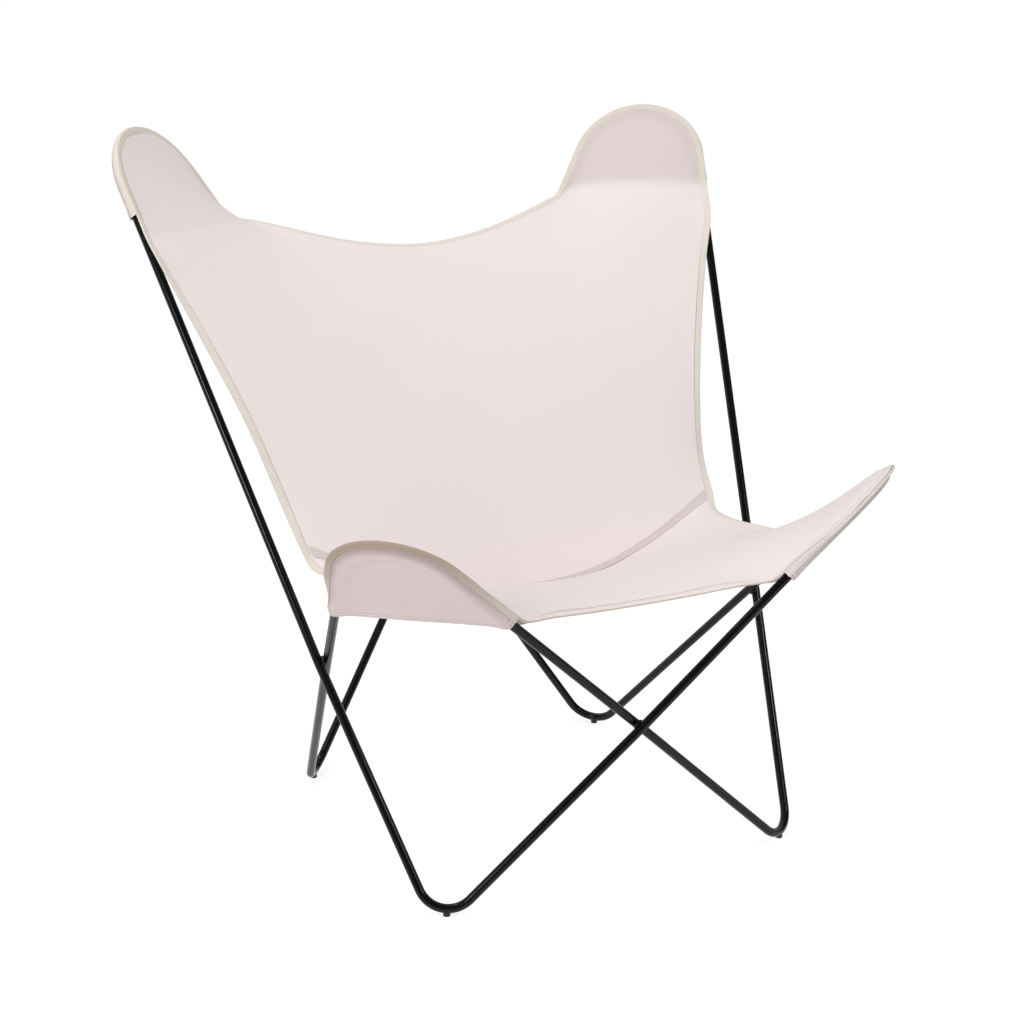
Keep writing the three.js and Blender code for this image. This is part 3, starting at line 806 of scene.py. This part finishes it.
def beside(points, horn):
    """Where points lie by a horn: how far outside the line of its bar, how far past its bend along
    a leg, and the way straight out from the bar."""
    down, across = in_plane(points, horn)
    side, tall, wide = np.sign(across), math.sin(horn.half), math.cos(horn.half)
    past = down * wide + np.abs(across) * tall
    on_leg = past > 0
    reach = np.hypot(down, across)
    out_down = np.where(on_leg, -tall, down / reach)[..., None] * np.array(horn.down)
    out_across = np.where(on_leg, wide * side, across / reach)[..., None] * np.array(horn.across)
    off = np.where(on_leg, np.abs(across) * wide - down * tall, reach) - horn.radius * MM
    return off, past, out_down + out_across


print("horns:", {word: round(horn.radius) for word, horn in horns.items()})


# %% Painted shade in front of a pocket
def pocket_shade(points, word, drop):
    """How much painted shade each point gets in front of a pocket, whose second layer stops the light:
    0 is clear of it, 1 is well inside it, and it is a little more by the bar, as the bar's painted
    shadow. Drop moves the edge of the painted shade down the ear, below the pocket's mouth, in mm."""
    horn = horns[word]
    down, across = in_plane(points, horn)
    mouth = [np.array(horn.leg(way, length) * MM) for way, length in zip((-1, 1), mouths[word])]
    (d0, a0), (d1, a1) = [in_plane(end, horn) for end in mouth]
    short = ((d0 - down) * (a1 - a0) + (across - a0) * (d1 - d0)) / math.hypot(a1 - a0, d1 - d0)
    inside = -beside(points, horn)[0]
    # Near the bar the painted shade deepens: a painted shadow of the bar through the canvas.
    bar_shadow = 1 + 0.3 * np.exp(-((inside - 5 * MM) / (8 * MM)) ** 2)
    return steps_of(short + drop * MM, -11 * MM, 9 * MM) * steps_of(inside, -30 * MM, -20 * MM) * bar_shadow


def mark(piece, strengths):
    """Marks how much painted shade the cloth has at each point of a mesh, from 0 to 1."""
    layer = piece.data.attributes.new("mark", "FLOAT", "POINT")
    layer.data.foreach_set("value", np.asarray(strengths, np.float32).ravel())


print("points of the back in shade:", int((pocket_shade(back_grid, "back_right", 0) > 0.5).sum()))

# %% [markdown]
# ## Panels
# The sling is pulled so tight that it has almost no folds. What the photograph shows are a few
# long, shallow creases that run from the ears into the back and the seat. They are laid in by
# moving points a millimetre or two along the cloth's own normal, with widths and lengths given one
# by one, because a simulation would give other creases each time it was changed. The front ears
# also end in a flange: outside the bar the cloth bends out into the bar's own plane.

# %% The flange of a front ear
FLANGE_OUT, FLANGE_DROP = 9.0, 8.0
EAR_MARGIN, CANVAS_END = 11.0, -2.5
CANVAS_OUT, CANVAS_DROP = 1.3 * FLANGE_OUT, 0.62 * FLANGE_DROP
EDGE_PULL, EDGE_SINK = 0.75, 0.11
FLANGE_DEPTH = 30


def flange_share(word, past):
    """How much of the flange an ear has at a run past its bend, in mm, from 0 to 1."""
    if "back" in word:
        return np.zeros_like(past, float)
    return 1 - steps_of(np.asarray(past, float), min(mouths[word]) - 100, min(mouths[word]) - 3)


def rim_moves(off):
    """How far the tape moves out and down at a distance outside the bar's line, in mm."""
    share = np.clip(off / EAR_MARGIN, 0, 1.2)
    return share * FLANGE_OUT, np.minimum(share, 0.97) * FLANGE_DROP


def canvas_moves(off):
    """The same for the canvas, whose edge ends inside the fold of the tape."""
    spare = np.maximum(off - CANVAS_END, 0)
    out = CANVAS_OUT * steps_of(off, -14, CANVAS_END) - EDGE_PULL * spare
    return out, CANVAS_DROP * steps_of(off, -9, CANVAS_END) + EDGE_SINK * spare


def flanged(points, moves):
    """Bends the cloth by the bar of a front ear out to the bar's own plane. Only points within
    the flange's depth of that plane belong to the ear."""
    moved = np.zeros_like(points)
    for word in ("front_left", "front_right"):
        horn = horns[word]
        off, past, way = beside(points, horn)
        under = np.array(horn.under)
        height = (points - np.array(horn.centre * MM)) @ under
        share = flange_share(word, past / MM) * (np.abs(height) < FLANGE_DEPTH * MM)
        out, drop = moves(off / MM)
        moved += (way * (out * share)[..., None] + under * (drop * share)[..., None]) * MM
    return points + moved


print("flange at the tip and at the mouth:", flange_share("front_left", np.array((0, 117.0))))


# %% Creases
def crease(grid, start, end, width, depth):
    """Pushes a long shallow fold into a sheet between two points, deepest at its middle."""
    start, end = Vector(start) * MM, Vector(end) * MM
    way = np.array((end - start).normalized())
    rel = grid[..., :3] - np.array(start)
    run = (rel @ way) / (end - start).length
    off = np.linalg.norm(rel - (rel @ way)[..., None] * way, axis=-1) / (width * MM)
    fade = steps_of(run, -0.1, 0.25) * (1 - steps_of(run, 0.7, 1.15))
    return depth * MM * np.exp(-off**2) * fade


back_creases = [
    ((-300, 330, 770), (-60, 100, 560), 14, -1.6),
    ((-330, 250, 640), (-80, 60, 520), 26, 1.5),
    ((330, 350, 800), (260, 150, 600), 40, 1.2),
    ((-360, 360, 860), (-250, 330, 760), 16, 1.0),
]
seat_creases = [
    ((-250, -200, 380), (60, -120, 335), 22, 1.4),
    ((120, -40, 320), (300, -200, 385), 20, -1.2),
]
print("creases in the back and the seat:", len(back_creases), len(seat_creases))

# %% Back and seat
CANVAS_PITCH, CANVAS_THICKNESS = 7 * MM, 1.6 * MM
SEAM_EDGE, BACK_EDGE, SEAT_EDGE = 0.9 * MM, 2.4 * MM, 4.6 * MM


def sling_panel(name, node, coarse, flat, normals, spare, creases, ears):
    """A panel with its creases and its patches of painted shade."""
    grid = refined(np.concatenate([coarse, flat], axis=-1), CANVAS_PITCH, spare)
    grid[..., :3] = flanged(grid[..., :3], canvas_moves)
    toward = 1 if (facing_of(coarse) * normals).sum() > 0 else -1
    facing = facing_of(grid) * toward
    for row in creases:
        grid[..., :3] += facing * crease(grid, *row)[..., None]
    piece = sheet_mesh(name, grid, grid[..., 3:], canvas, flip=toward < 0)
    points = grid[..., :3].reshape(-1, 3)
    mark(piece, sum(strength * pocket_shade(points, ear, drop) for ear, (strength, drop) in ears.items()))
    thickened(piece, CANVAS_THICKNESS, -1)
    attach(piece, "root")
    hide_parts(node)
    print(name, len(piece.data.polygons), "faces")
    return piece


# Each ear gives the strength of its painted shade and how far the shade's edge is moved down, in mm.
back = sling_panel("back_canvas", "back_panel", back_grid, back_flat, back_normals,
                   [(BACK_EDGE, SEAM_EDGE), (BACK_EDGE, BACK_EDGE)], back_creases,
                   {"back_left": (0.15, 36), "back_right": (0.75, 6)})
seat = sling_panel("seat_canvas", "seat_panel", seat_grid, seat_flat, seat_normals,
                   [(SEAM_EDGE, SEAT_EDGE), (SEAT_EDGE, SEAT_EDGE)], seat_creases,
                   {"front_left": (0.15, 0)})


# %% [markdown]
# ## Edge tape
# The canvas edge is bound with a folded cotton tape. It is swept as a soft section, thicker than
# the canvas and round at the fold, along the two long edges of its CAD strip. Two rows of thread
# hold it, each stitch a short bead of its own that dips into the cloth at both ends.

# %% Sweeping a closed section
def turned_out(piece):
    """Makes the faces of a closed piece point outwards."""
    shape = bmesh.new()
    shape.from_mesh(piece.data)
    bmesh.ops.recalc_face_normals(shape, faces=shape.faces)
    shape.to_mesh(piece.data)
    shape.free()
    make_active(piece)


def swept(name, rings, material):
    """A piece from rings of points, closed at both ends. U runs round it and V runs along it."""
    rings = np.asarray(rings)
    count, sides = rings.shape[:2]
    closed = np.concatenate([rings, rings[:, :1]], axis=1)
    around = np.concatenate([[0], np.cumsum(np.linalg.norm(np.diff(closed[count // 2], axis=0), axis=-1))])
    along = runs(rings)
    faces, uvs = [], []
    for i in range(count - 1):
        for k in range(sides):
            j = (k + 1) % sides
            faces.append((i * sides + k, i * sides + j, (i + 1) * sides + j, (i + 1) * sides + k))
            uvs += [(around[k], along[i]), (around[k + 1], along[i]),
                    (around[k + 1], along[i + 1]), (around[k], along[i + 1])]
    for i in (0, count - 1):
        faces.append(tuple(i * sides + k for k in range(sides)))
        uvs += [(around[k], along[i]) for k in range(sides)]
    piece = built(name, rings.reshape(-1, 3), faces, uvs, material)
    turned_out(piece)
    bpy.ops.object.shade_smooth_by_angle(angle=math.radians(50))
    return piece


print("closed sections can be swept")

# %% Stitches
STITCH_PITCH, STITCH_LENGTH, THREAD_RADIUS = 3.4, 2.5, 0.28
STITCH_SIDES = 6
STITCH_RINGS = [(-1, 0.35, -0.35), (-0.6, 1, 0.1), (0.6, 1, 0.1), (1, 0.35, -0.35)]
STITCH_FACES = (len(STITCH_RINGS) - 1) * STITCH_SIDES + 2
THREAD_PATCH = [(0, 0), (0.0003, 0), (0.0003, 0.001), (0, 0.001)]
THREAD_ROUND, THREAD_STEP = 0.002, 0.001


def stitch_row(path, normals):
    """A row of thread stitches that lie along a path on the cloth. Each ring of a stitch has its
    place along the stitch, its width, and how far it stands over the cloth."""
    place = runs(path[:, None, :])
    count = int(place[-1] / (STITCH_PITCH * MM))
    mids = (np.arange(count) + 0.5) * place[-1] / count
    at = through(place, path, mids)
    ahead = through(place, path, mids + 0.4 * MM) - at
    up = through(place, normals, mids)
    verts, faces, uvs = [], [], []
    for spot, way, lift in zip(at, ahead, up):
        way = way / np.linalg.norm(way)
        lift = lift - way * (lift @ way)
        lift /= np.linalg.norm(lift)
        side = np.cross(way, lift)
        base = len(verts)
        for part, scale, rise in STITCH_RINGS:
            for k in range(STITCH_SIDES):
                turn = k * math.tau / STITCH_SIDES
                wide, high = scale * math.cos(turn), scale * math.sin(turn) + rise
                reach = way * part * STITCH_LENGTH / 2 + (side * wide + lift * high) * THREAD_RADIUS
                verts.append(spot + reach * MM)
        for ring in range(len(STITCH_RINGS) - 1):
            for k in range(STITCH_SIDES):
                j = (k + 1) % STITCH_SIDES
                low, high = base + ring * STITCH_SIDES, base + (ring + 1) * STITCH_SIDES
                faces.append([low + k, low + j, high + j, high + k])
                uvs += [(k * THREAD_ROUND / STITCH_SIDES + u, ring * THREAD_STEP + v)
                        for u, v in THREAD_PATCH]
        last = base + (len(STITCH_RINGS) - 1) * STITCH_SIDES
        faces.append([base + k for k in reversed(range(STITCH_SIDES))])
        faces.append([last + k for k in range(STITCH_SIDES)])
        uvs += [(0, 0)] * 2 * STITCH_SIDES
    return verts, faces, uvs


def stitched(name, rows):
    """A piece made of several rows of stitches."""
    verts, faces, uvs = [], [], []
    for path, normals in rows:
        row_verts, row_faces, row_uvs = stitch_row(path, normals)
        faces += [[i + len(verts) for i in face] for face in row_faces]
        verts += row_verts
        uvs += row_uvs
    piece = built(name, verts, faces, uvs, thread)
    turned_out(piece)
    bpy.ops.object.shade_smooth()
    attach(piece, "root")
    print(name, len(rows), "rows,", len(faces) // STITCH_FACES, "stitches")
    return piece


print("faces in a stitch:", STITCH_FACES)

# %% Tape round the free edges
SLING_MIDDLE = np.array((0, 0, 0.5))
TAPE_PITCH, TAPE_END = 5 * MM, 0.14 * MM
TAPE_WIDTH, TAPE_SINK = 12, 1.2
ROW_FROM_FOLD, STITCH_HEIGHT = 10.2, 1.27
half_section = [(0.1, 0.55), (0.45, 1.0), (1.2, 1.25), (3, 1.32), (6, 1.36), (9, 1.30), (11, 1.2),
                (11.7, 1.12), (TAPE_WIDTH, 0.85)]
fold_section = [(0.0, 0.0), *half_section, *[(a, -t) for a, t in reversed(half_section)]]


def edge_tape(word):
    """The bound edge along one CAD strip, and its two rows of stitches. The middle of the fold is
    sunk a little under the side of the strip that is read."""
    name, node = "tape_" + word, "binding_" + word
    coarse, normals = rows_of(
        node, lambda side: len(side) + np.linalg.norm(side - SLING_MIDDLE, axis=1).mean())
    strip = np.swapaxes(np.concatenate([coarse, normals], -1), 0, 1)
    both = refined(strip, TAPE_PITCH, [(TAPE_END, TAPE_END)])
    width = np.linalg.norm(both[:, 1, :3] - both[:, 0, :3], axis=1, keepdims=True)
    outer, inner = flanged(both[:, 0, :3], rim_moves), flanged(both[:, 1, :3], rim_moves)
    in_way = inner - outer
    in_way /= np.linalg.norm(in_way, axis=1, keepdims=True)
    up = both[:, 0, 3:] + both[:, 1, 3:]
    up -= in_way * (up * in_way).sum(1, keepdims=True)
    up /= np.linalg.norm(up, axis=1, keepdims=True)
    rings = np.array([[o + w * (a / TAPE_WIDTH * wide) + u * ((t - TAPE_SINK) * MM)
                       for a, t in fold_section] for o, w, u, wide in zip(outer, in_way, up, width)])
    piece = swept(name, rings, front_tape if word == "front" else tape)
    # Painted shade: a dark line along the fold of the front tape, a fainter one along the inner edge of
    # every tape, and a little of the canvas's painted shade in front of a back pocket.
    at_fold, at_edge = (0.5, 0.1) if word == "front" else (0, 0.16)
    painted_shade = np.array([max(at_fold * (a < 1), at_edge * (a > 9.5)) for a, t in fold_section] * len(rings))
    shaded = sum(pocket_shade(rings.reshape(-1, 3), ear, 6) for ear in ("back_left", "back_right"))
    mark(piece, np.maximum(painted_shade, 0.16 * shaded))
    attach(piece, "root")
    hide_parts(node)
    line = outer + in_way * ROW_FROM_FOLD * MM
    return piece, stitched(name + "_stitches", [
        (line + up * ((face * STITCH_HEIGHT - TAPE_SINK) * MM), up * face) for face in (1, -1)])


tapes = {word: edge_tape(word) for word in ("top", "right", "front", "left")}


# %% [markdown]
# ## Pockets
# A pocket is a second layer of canvas on the outer side of an ear. It is sewn in with the edge,
# comes up over the bar and goes straight across to the other leg of the horn. It is made as rows
# that run from one leg to the other, from its mouth up to the tip, so its weave stays square. Its
# mouth is turned in and sewn, which shows as a raised hem with a groove along each row of stitches.

# %% Sections of the cloth round a bar
def evenly(points, count):
    """Points spaced evenly along a smooth curve through others."""
    points = np.array(points)
    run = runs(points[:, None, :])
    return through(run, points, np.linspace(0, run[-1], count))


class Section:
    """A section through the cloth beside a bar: how far it lies outside the bar's line, and how
    far under the plane of the horn. It passes from a plain rim to a flange."""

    def __init__(self, plain, flange, count):
        self.plain, self.flange = evenly(plain, count), evenly(flange, count)

    def at(self, share):
        return self.plain + (self.flange - self.plain) * share


POCKET_SIDE, TAPE_SIDE = 16, 14
pocket_section = Section(
    [(10.0, -6.6), (9.5, -5.0), (8.9, -2.8), (8.1, 0.0), (7.0, 3.2), (5.2, 5.8), (2.7, 7.5), (0, 8.0)],
    [(18.8, 1.7), (15.6, 1.8), (13.0, 2.1), (10.8, 3.0), (8.6, 4.6), (6.2, 6.5), (3.2, 7.8), (0, 8.0)],
    POCKET_SIDE)
tape_section = Section(
    [(10.1, -7.7), (10.6, -6.6), (10.7, -5.2), (10.35, -2.6), (9.7, 0.1), (9.45, 1.0)],
    [(19.9, -0.6), (20.5, 0.4), (20.2, 1.9), (17.6, 2.9), (14.4, 3.1), (12.2, 3.5)],
    TAPE_SIDE)
print("a pocket's side in plain form:", np.round(pocket_section.at(0)[[0, -1]], 1).tolist())


# %% Stations along a horn
def stations(horn, lengths, legs, turns):
    """Stations in pairs, one on each side of a horn, from the mouth to the tip: how far past the
    bend they lie, and a function for each side that places a point of a section."""
    pairs = [(share * min(lengths),
              lambda m, h, run=share * lengths[0]: horn.leg(-1, run, m, h),
              lambda m, h, run=share * lengths[1]: horn.leg(1, run, m, h))
             for share in (1 - i / legs for i in range(legs))]
    pairs += [(0,
               lambda m, h, turn=share * horn.reach: horn.spot(-turn, m, h),
               lambda m, h, turn=share * horn.reach: horn.spot(turn, m, h))
              for share in (1 - i / turns for i in range(turns + 1))]
    return pairs


print("stations can be set along", len(horns), "horns")

# %% The rows of a pocket
WEB, ROW_PITCH, TIP_ROWS = 34, 4, 40
WEB_DROP, WEB_SLOPE = 2.6 * MM, 22 * MM


def pocket(word):
    """The pocket cloth of one horn, its flat cut, and the way out from under the horn."""
    horn = horns[word]
    grid, cut = [], []
    for past, one, two in stations(horn, mouths[word], round(max(mouths[word]) / ROW_PITCH), TIP_ROWS):
        fine = pocket_section.at(flange_share(word, past))
        near, far = [one(m, h) for m, h in fine], [two(m, h) for m, h in fine[::-1]]
        web = [near[-1].lerp(far[0], k / WEB) for k in range(1, WEB)]
        grid.append([p * MM for p in (*near, *web, *far)])
        run = runs(fine[:, None, :])
        spare = (run[-1] - run)[:, None]
        out_one, out_two = [horn.laid_flat(edge(1, 0) - edge(0, 0)) for edge in (one, two)]
        flat = [horn.laid_flat(p - horn.centre) for p in (near[-1], *web, far[0])]
        sides = flat[0] + out_one * spare, flat[-1] + out_two * spare[::-1]
        cut.append(np.concatenate([sides[0], flat[1:-1], sides[1]]))
    grid, cut = np.array(grid), np.array(cut) * MM
    first, last = POCKET_SIDE, POCKET_SIDE + WEB - 1
    crest = np.concatenate([grid[:, first - 1], grid[::-1, last]])
    from_crest = np.linalg.norm(grid[:, first:last, None] - crest[None, None], axis=-1).min(axis=-1)
    under = np.array(horn.under)
    grid[:, first:last] -= under * (WEB_DROP * steps_of(from_crest, 0, WEB_SLOPE))[..., None]
    return grid, cut, under


print("columns in a pocket:", 2 * POCKET_SIDE + WEB - 1)

# %% Hems and grooves
HEM = 12 * MM
HEM_ROWS = 3.2 * MM, HEM - 1.5 * MM
HEM_HEIGHT, GROOVE_DEPTH, GROOVE_WIDTH = 0.7 * MM, 0.5 * MM, 0.9 * MM


def hem_grooves(run):
    """How deep the stitches draw the cloth in at each run from the mouth, from 0 to 1."""
    return sum(np.exp(-((run - row) / GROOVE_WIDTH) ** 2) for row in HEM_ROWS)


def hemmed(grid, normals):
    """Thickens a pocket's mouth by the height of its turned hem, and draws in its stitch rows."""
    run = runs(grid)
    raised = HEM_HEIGHT * (1 - steps_of(run, HEM, HEM + 1.5 * MM))
    return grid + normals * (raised - GROOVE_DEPTH * hem_grooves(run))[:, None, None]


def rippled(grid, normals):
    """Lets the middle of a pocket wander by half a millimetre, and leaves its sides as they are."""
    wander = np.sin(grid[..., 0] * 70 + 2 * np.sin(grid[..., 2] * 40))
    ripple = 0.5 * MM * wander * np.sin(grid[..., 2] * 55 + 1)
    inner = np.zeros(grid.shape[1])
    inner[POCKET_SIDE + 2:-POCKET_SIDE - 2] = 1
    return grid + normals * (ripple * inner)[..., None]


def rim_shade(grid):
    """How much painted shade each point of a pocket gets, from 0 to 1: deepest along its rim towards the
    tip, and in the grooves of its hem stitches.
    """
    across = np.linalg.norm(np.diff(grid, axis=1), axis=-1)
    from_left = np.concatenate([np.zeros((len(grid), 1)), np.cumsum(across, axis=1)], axis=1)
    from_rim = np.minimum(from_left, from_left[:, -1:] - from_left)
    run = runs(grid)
    to_tip = (run / run[-1])[:, None]
    rim = (0.3 + 0.6 * to_tip) * (1 - steps_of(from_rim, 9 * MM, 22 * MM))
    return np.clip(rim + 0.5 * hem_grooves(run)[:, None], 0, 1)


print("hem in mm:", round(HEM / MM, 1), "with", len(HEM_ROWS), "rows of stitches")

# %% Sewing the pockets
FINE_ROWS = np.arange(0.7, 16, 0.7) * MM
CLEAR_ENDS = slice(10, -10)
STITCH_LIFT = 0.85 * MM


def sewn_pocket(word):
    """The pocket of one horn with its hem, and the stitches of the hem."""
    grid, cut, under = pocket(word)
    run = runs(grid)
    both = through(run, np.concatenate([grid, cut], -1), np.unique(np.concatenate([run, FINE_ROWS])))
    grid, cut = both[..., :3], both[..., 3:]
    facing = facing_of(grid)
    facing[-1] = facing[-2]
    outward = 1 if (facing * under).sum() > 0 else -1
    facing *= outward
    grid = hemmed(rippled(grid, facing), facing)
    piece = sheet_mesh("pocket_cloth_" + word, grid, cut, pocket_cloth, flip=outward < 0)
    mark(piece, rim_shade(grid))
    make_active(piece)
    bpy.ops.object.mode_set(mode="EDIT")
    bpy.ops.mesh.select_all(action="SELECT")
    bpy.ops.mesh.remove_doubles(threshold=0.02 * MM)
    bpy.ops.object.mode_set(mode="OBJECT")
    thickened(piece, CANVAS_THICKNESS, 0, smooth_to=60)
    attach(piece, "root")
    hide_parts("pocket_" + word)
    out = facing[3, CLEAR_ENDS]
    hem_lines = through(runs(grid), grid, np.array(HEM_ROWS))[:, CLEAR_ENDS]
    sewn = stitched("hem_stitches_" + word, [(line + out * STITCH_LIFT, out) for line in hem_lines])
    width, length = [float(v) for v in cut.reshape(-1, 2).max(0) - cut.reshape(-1, 2).min(0)]
    area = float(areas(grid).sum())
    print(word, "pocket", [round(v, 3) for v in (width, length, area)])
    return {"piece": piece, "sewn": sewn, "flat": (width, length), "area": area}


pockets = {word: sewn_pocket(word) for word in horns}

# %% [markdown]
# ## Tape over the pockets
# On an ear the edge tape also folds over the pocket, so the pocket's edge ends inside it. This
# outer flap is thinner than the fold on the sitter's side. It is swept along the same stations as
# the pocket, from one leg round the tip to the other, and has a row of stitches of its own.

# %% Outer flap of the tape
FLAP_PITCH, FLAP_TURNS, HALF_FLAP = 6, 28, 0.45
SEWN_AT = -4
# How much painted shade the outer flap of each ear's tape has at its tip.
flap_shade = {"back_left": 0.1, "back_right": 0.1, "front_left": 0.9, "front_right": 0.15}


def ear_tape(word):
    """The outer flap of the edge tape, which folds round the ear's rim to the side of the bar."""
    lengths = [length + 1 for length in mouths[word]]
    pairs = stations(horns[word], lengths, round(max(lengths) / FLAP_PITCH), FLAP_TURNS)
    places = [(past, one) for past, one, two in pairs] + [(past, two) for past, one, two in pairs[-2::-1]]
    rings, path, up = [], [], []
    for past, place in places:
        fine = tape_section.at(flange_share(word, past))
        tangent = np.gradient(fine, axis=0)
        normal = np.stack([tangent[:, 1], -tangent[:, 0]], -1)
        normal /= np.linalg.norm(normal, axis=1, keepdims=True)
        loop = np.concatenate([fine + normal * HALF_FLAP, (fine - normal * HALF_FLAP)[::-1]])
        rings.append([place(m, h) * MM for m, h in loop])
        middle, on = place(*fine[SEWN_AT]), place(*(fine[SEWN_AT] + normal[SEWN_AT] * 0.5))
        path.append(on * MM)
        up.append((on - middle).normalized())
    piece = swept("ear_tape_" + word, rings, front_tape if word == "front_right" else tape)
    run = runs(np.array(rings))
    # The painted shade is deepest at the tip and fades to a quarter of that towards the mouths.
    painted_shade = flap_shade[word] * (1 - 0.75 * steps_of(np.abs(run / run[-1] - 0.5), 0.1, 0.5))
    mark(piece, np.repeat(painted_shade[:, None], len(rings[0]), axis=1))
    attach(piece, "root")
    return piece, stitched("ear_stitches_" + word, [(np.array(path), np.array(up))])


ear_tapes = {word: ear_tape(word) for word in horns}

# %% [markdown]
# ## Cross seam
# Back and seat are two pieces, joined at the fold. A flat band covers the join on the sitter's
# side, held by a row of stitches along each of its edges.

# %% Seam band
BAND_STATIONS = 290
BACK_ARM, SEAT_ARM = 10 * MM, 5 * MM
BAND_LIFT, BAND_THICKNESS = 1.9 * MM, 0.8 * MM
ARM_SHARES = [1, 0.85, 0.6, 0.35]


def seam_side(edge, beyond, normals):
    """Evenly spaced points of a panel's seam edge, the way into the panel, and its normals."""
    way = beyond - edge
    way /= np.linalg.norm(way, axis=1, keepdims=True)
    run = runs(edge[:, None, :])
    rows = np.concatenate([edge, way, normals], axis=-1)
    return np.split(through(run, rows, np.linspace(0, run[-1], BAND_STATIONS)), 3, axis=-1)


back_edge, back_way, back_up = seam_side(back_grid[-1], back_grid[-2], back_normals[-1])
seat_edge, seat_way, seat_up = seam_side(seat_grid[0], seat_grid[1], seat_normals[0])
station = np.arange(BAND_STATIONS)
lift = BAND_LIFT + 0.2 * MM * (np.sin(station * 0.9) * np.sin(station * 0.23))[:, None]
corner = (back_up + seat_up) / (1 + (back_up * seat_up).sum(1, keepdims=True))
fold = (back_edge + seat_edge) / 2 + corner * lift * 1.1
points = np.array([
    *[back_edge + back_way * share * BACK_ARM + back_up * lift for share in ARM_SHARES],
    fold,
    *[seat_edge + seat_way * share * SEAT_ARM + seat_up * lift for share in reversed(ARM_SHARES)]])
size = np.stack(np.meshgrid(runs(np.swapaxes(points, 0, 1)), runs(points)), -1)
toward = (facing_of(points) * corner).sum() > 0
seam = sheet_mesh("seam_band", points, size, seam_cloth, flip=not toward)
thickened(seam, BAND_THICKNESS, -1)
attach(seam, "root")
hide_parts("cross_seam_tape")
seam_stitches = stitched("seam_stitches", [(points[1], back_up), (points[-2], seat_up)])

# %% [markdown]
# ## Cut sizes of the cloth
# The sizes that the back and the seat were cut to are printed. The flat sizes come from unwrapping
# the finished shapes, so the cloth is neither stretched nor slack.

# %% Sheets
for piece, flat, area, pieces in (
        (back, back_flat, back_area, [*tapes["top"], *tapes["left"], *tapes["right"]]),
        (seat, seat_flat, seat_area, [*tapes["front"], seam, seam_stitches])):
    spread = flat.reshape(-1, 2).max(0) - flat.reshape(-1, 2).min(0)
    print(piece.name, "cut", np.round(spread, 3), round(float(area), 3))
for word, made in pockets.items():
    width, length = made["flat"]
    bar = "bent_bar_left" if word in ("back_left", "front_right") else "bent_bar_right"
    min(made["area"], width * length)
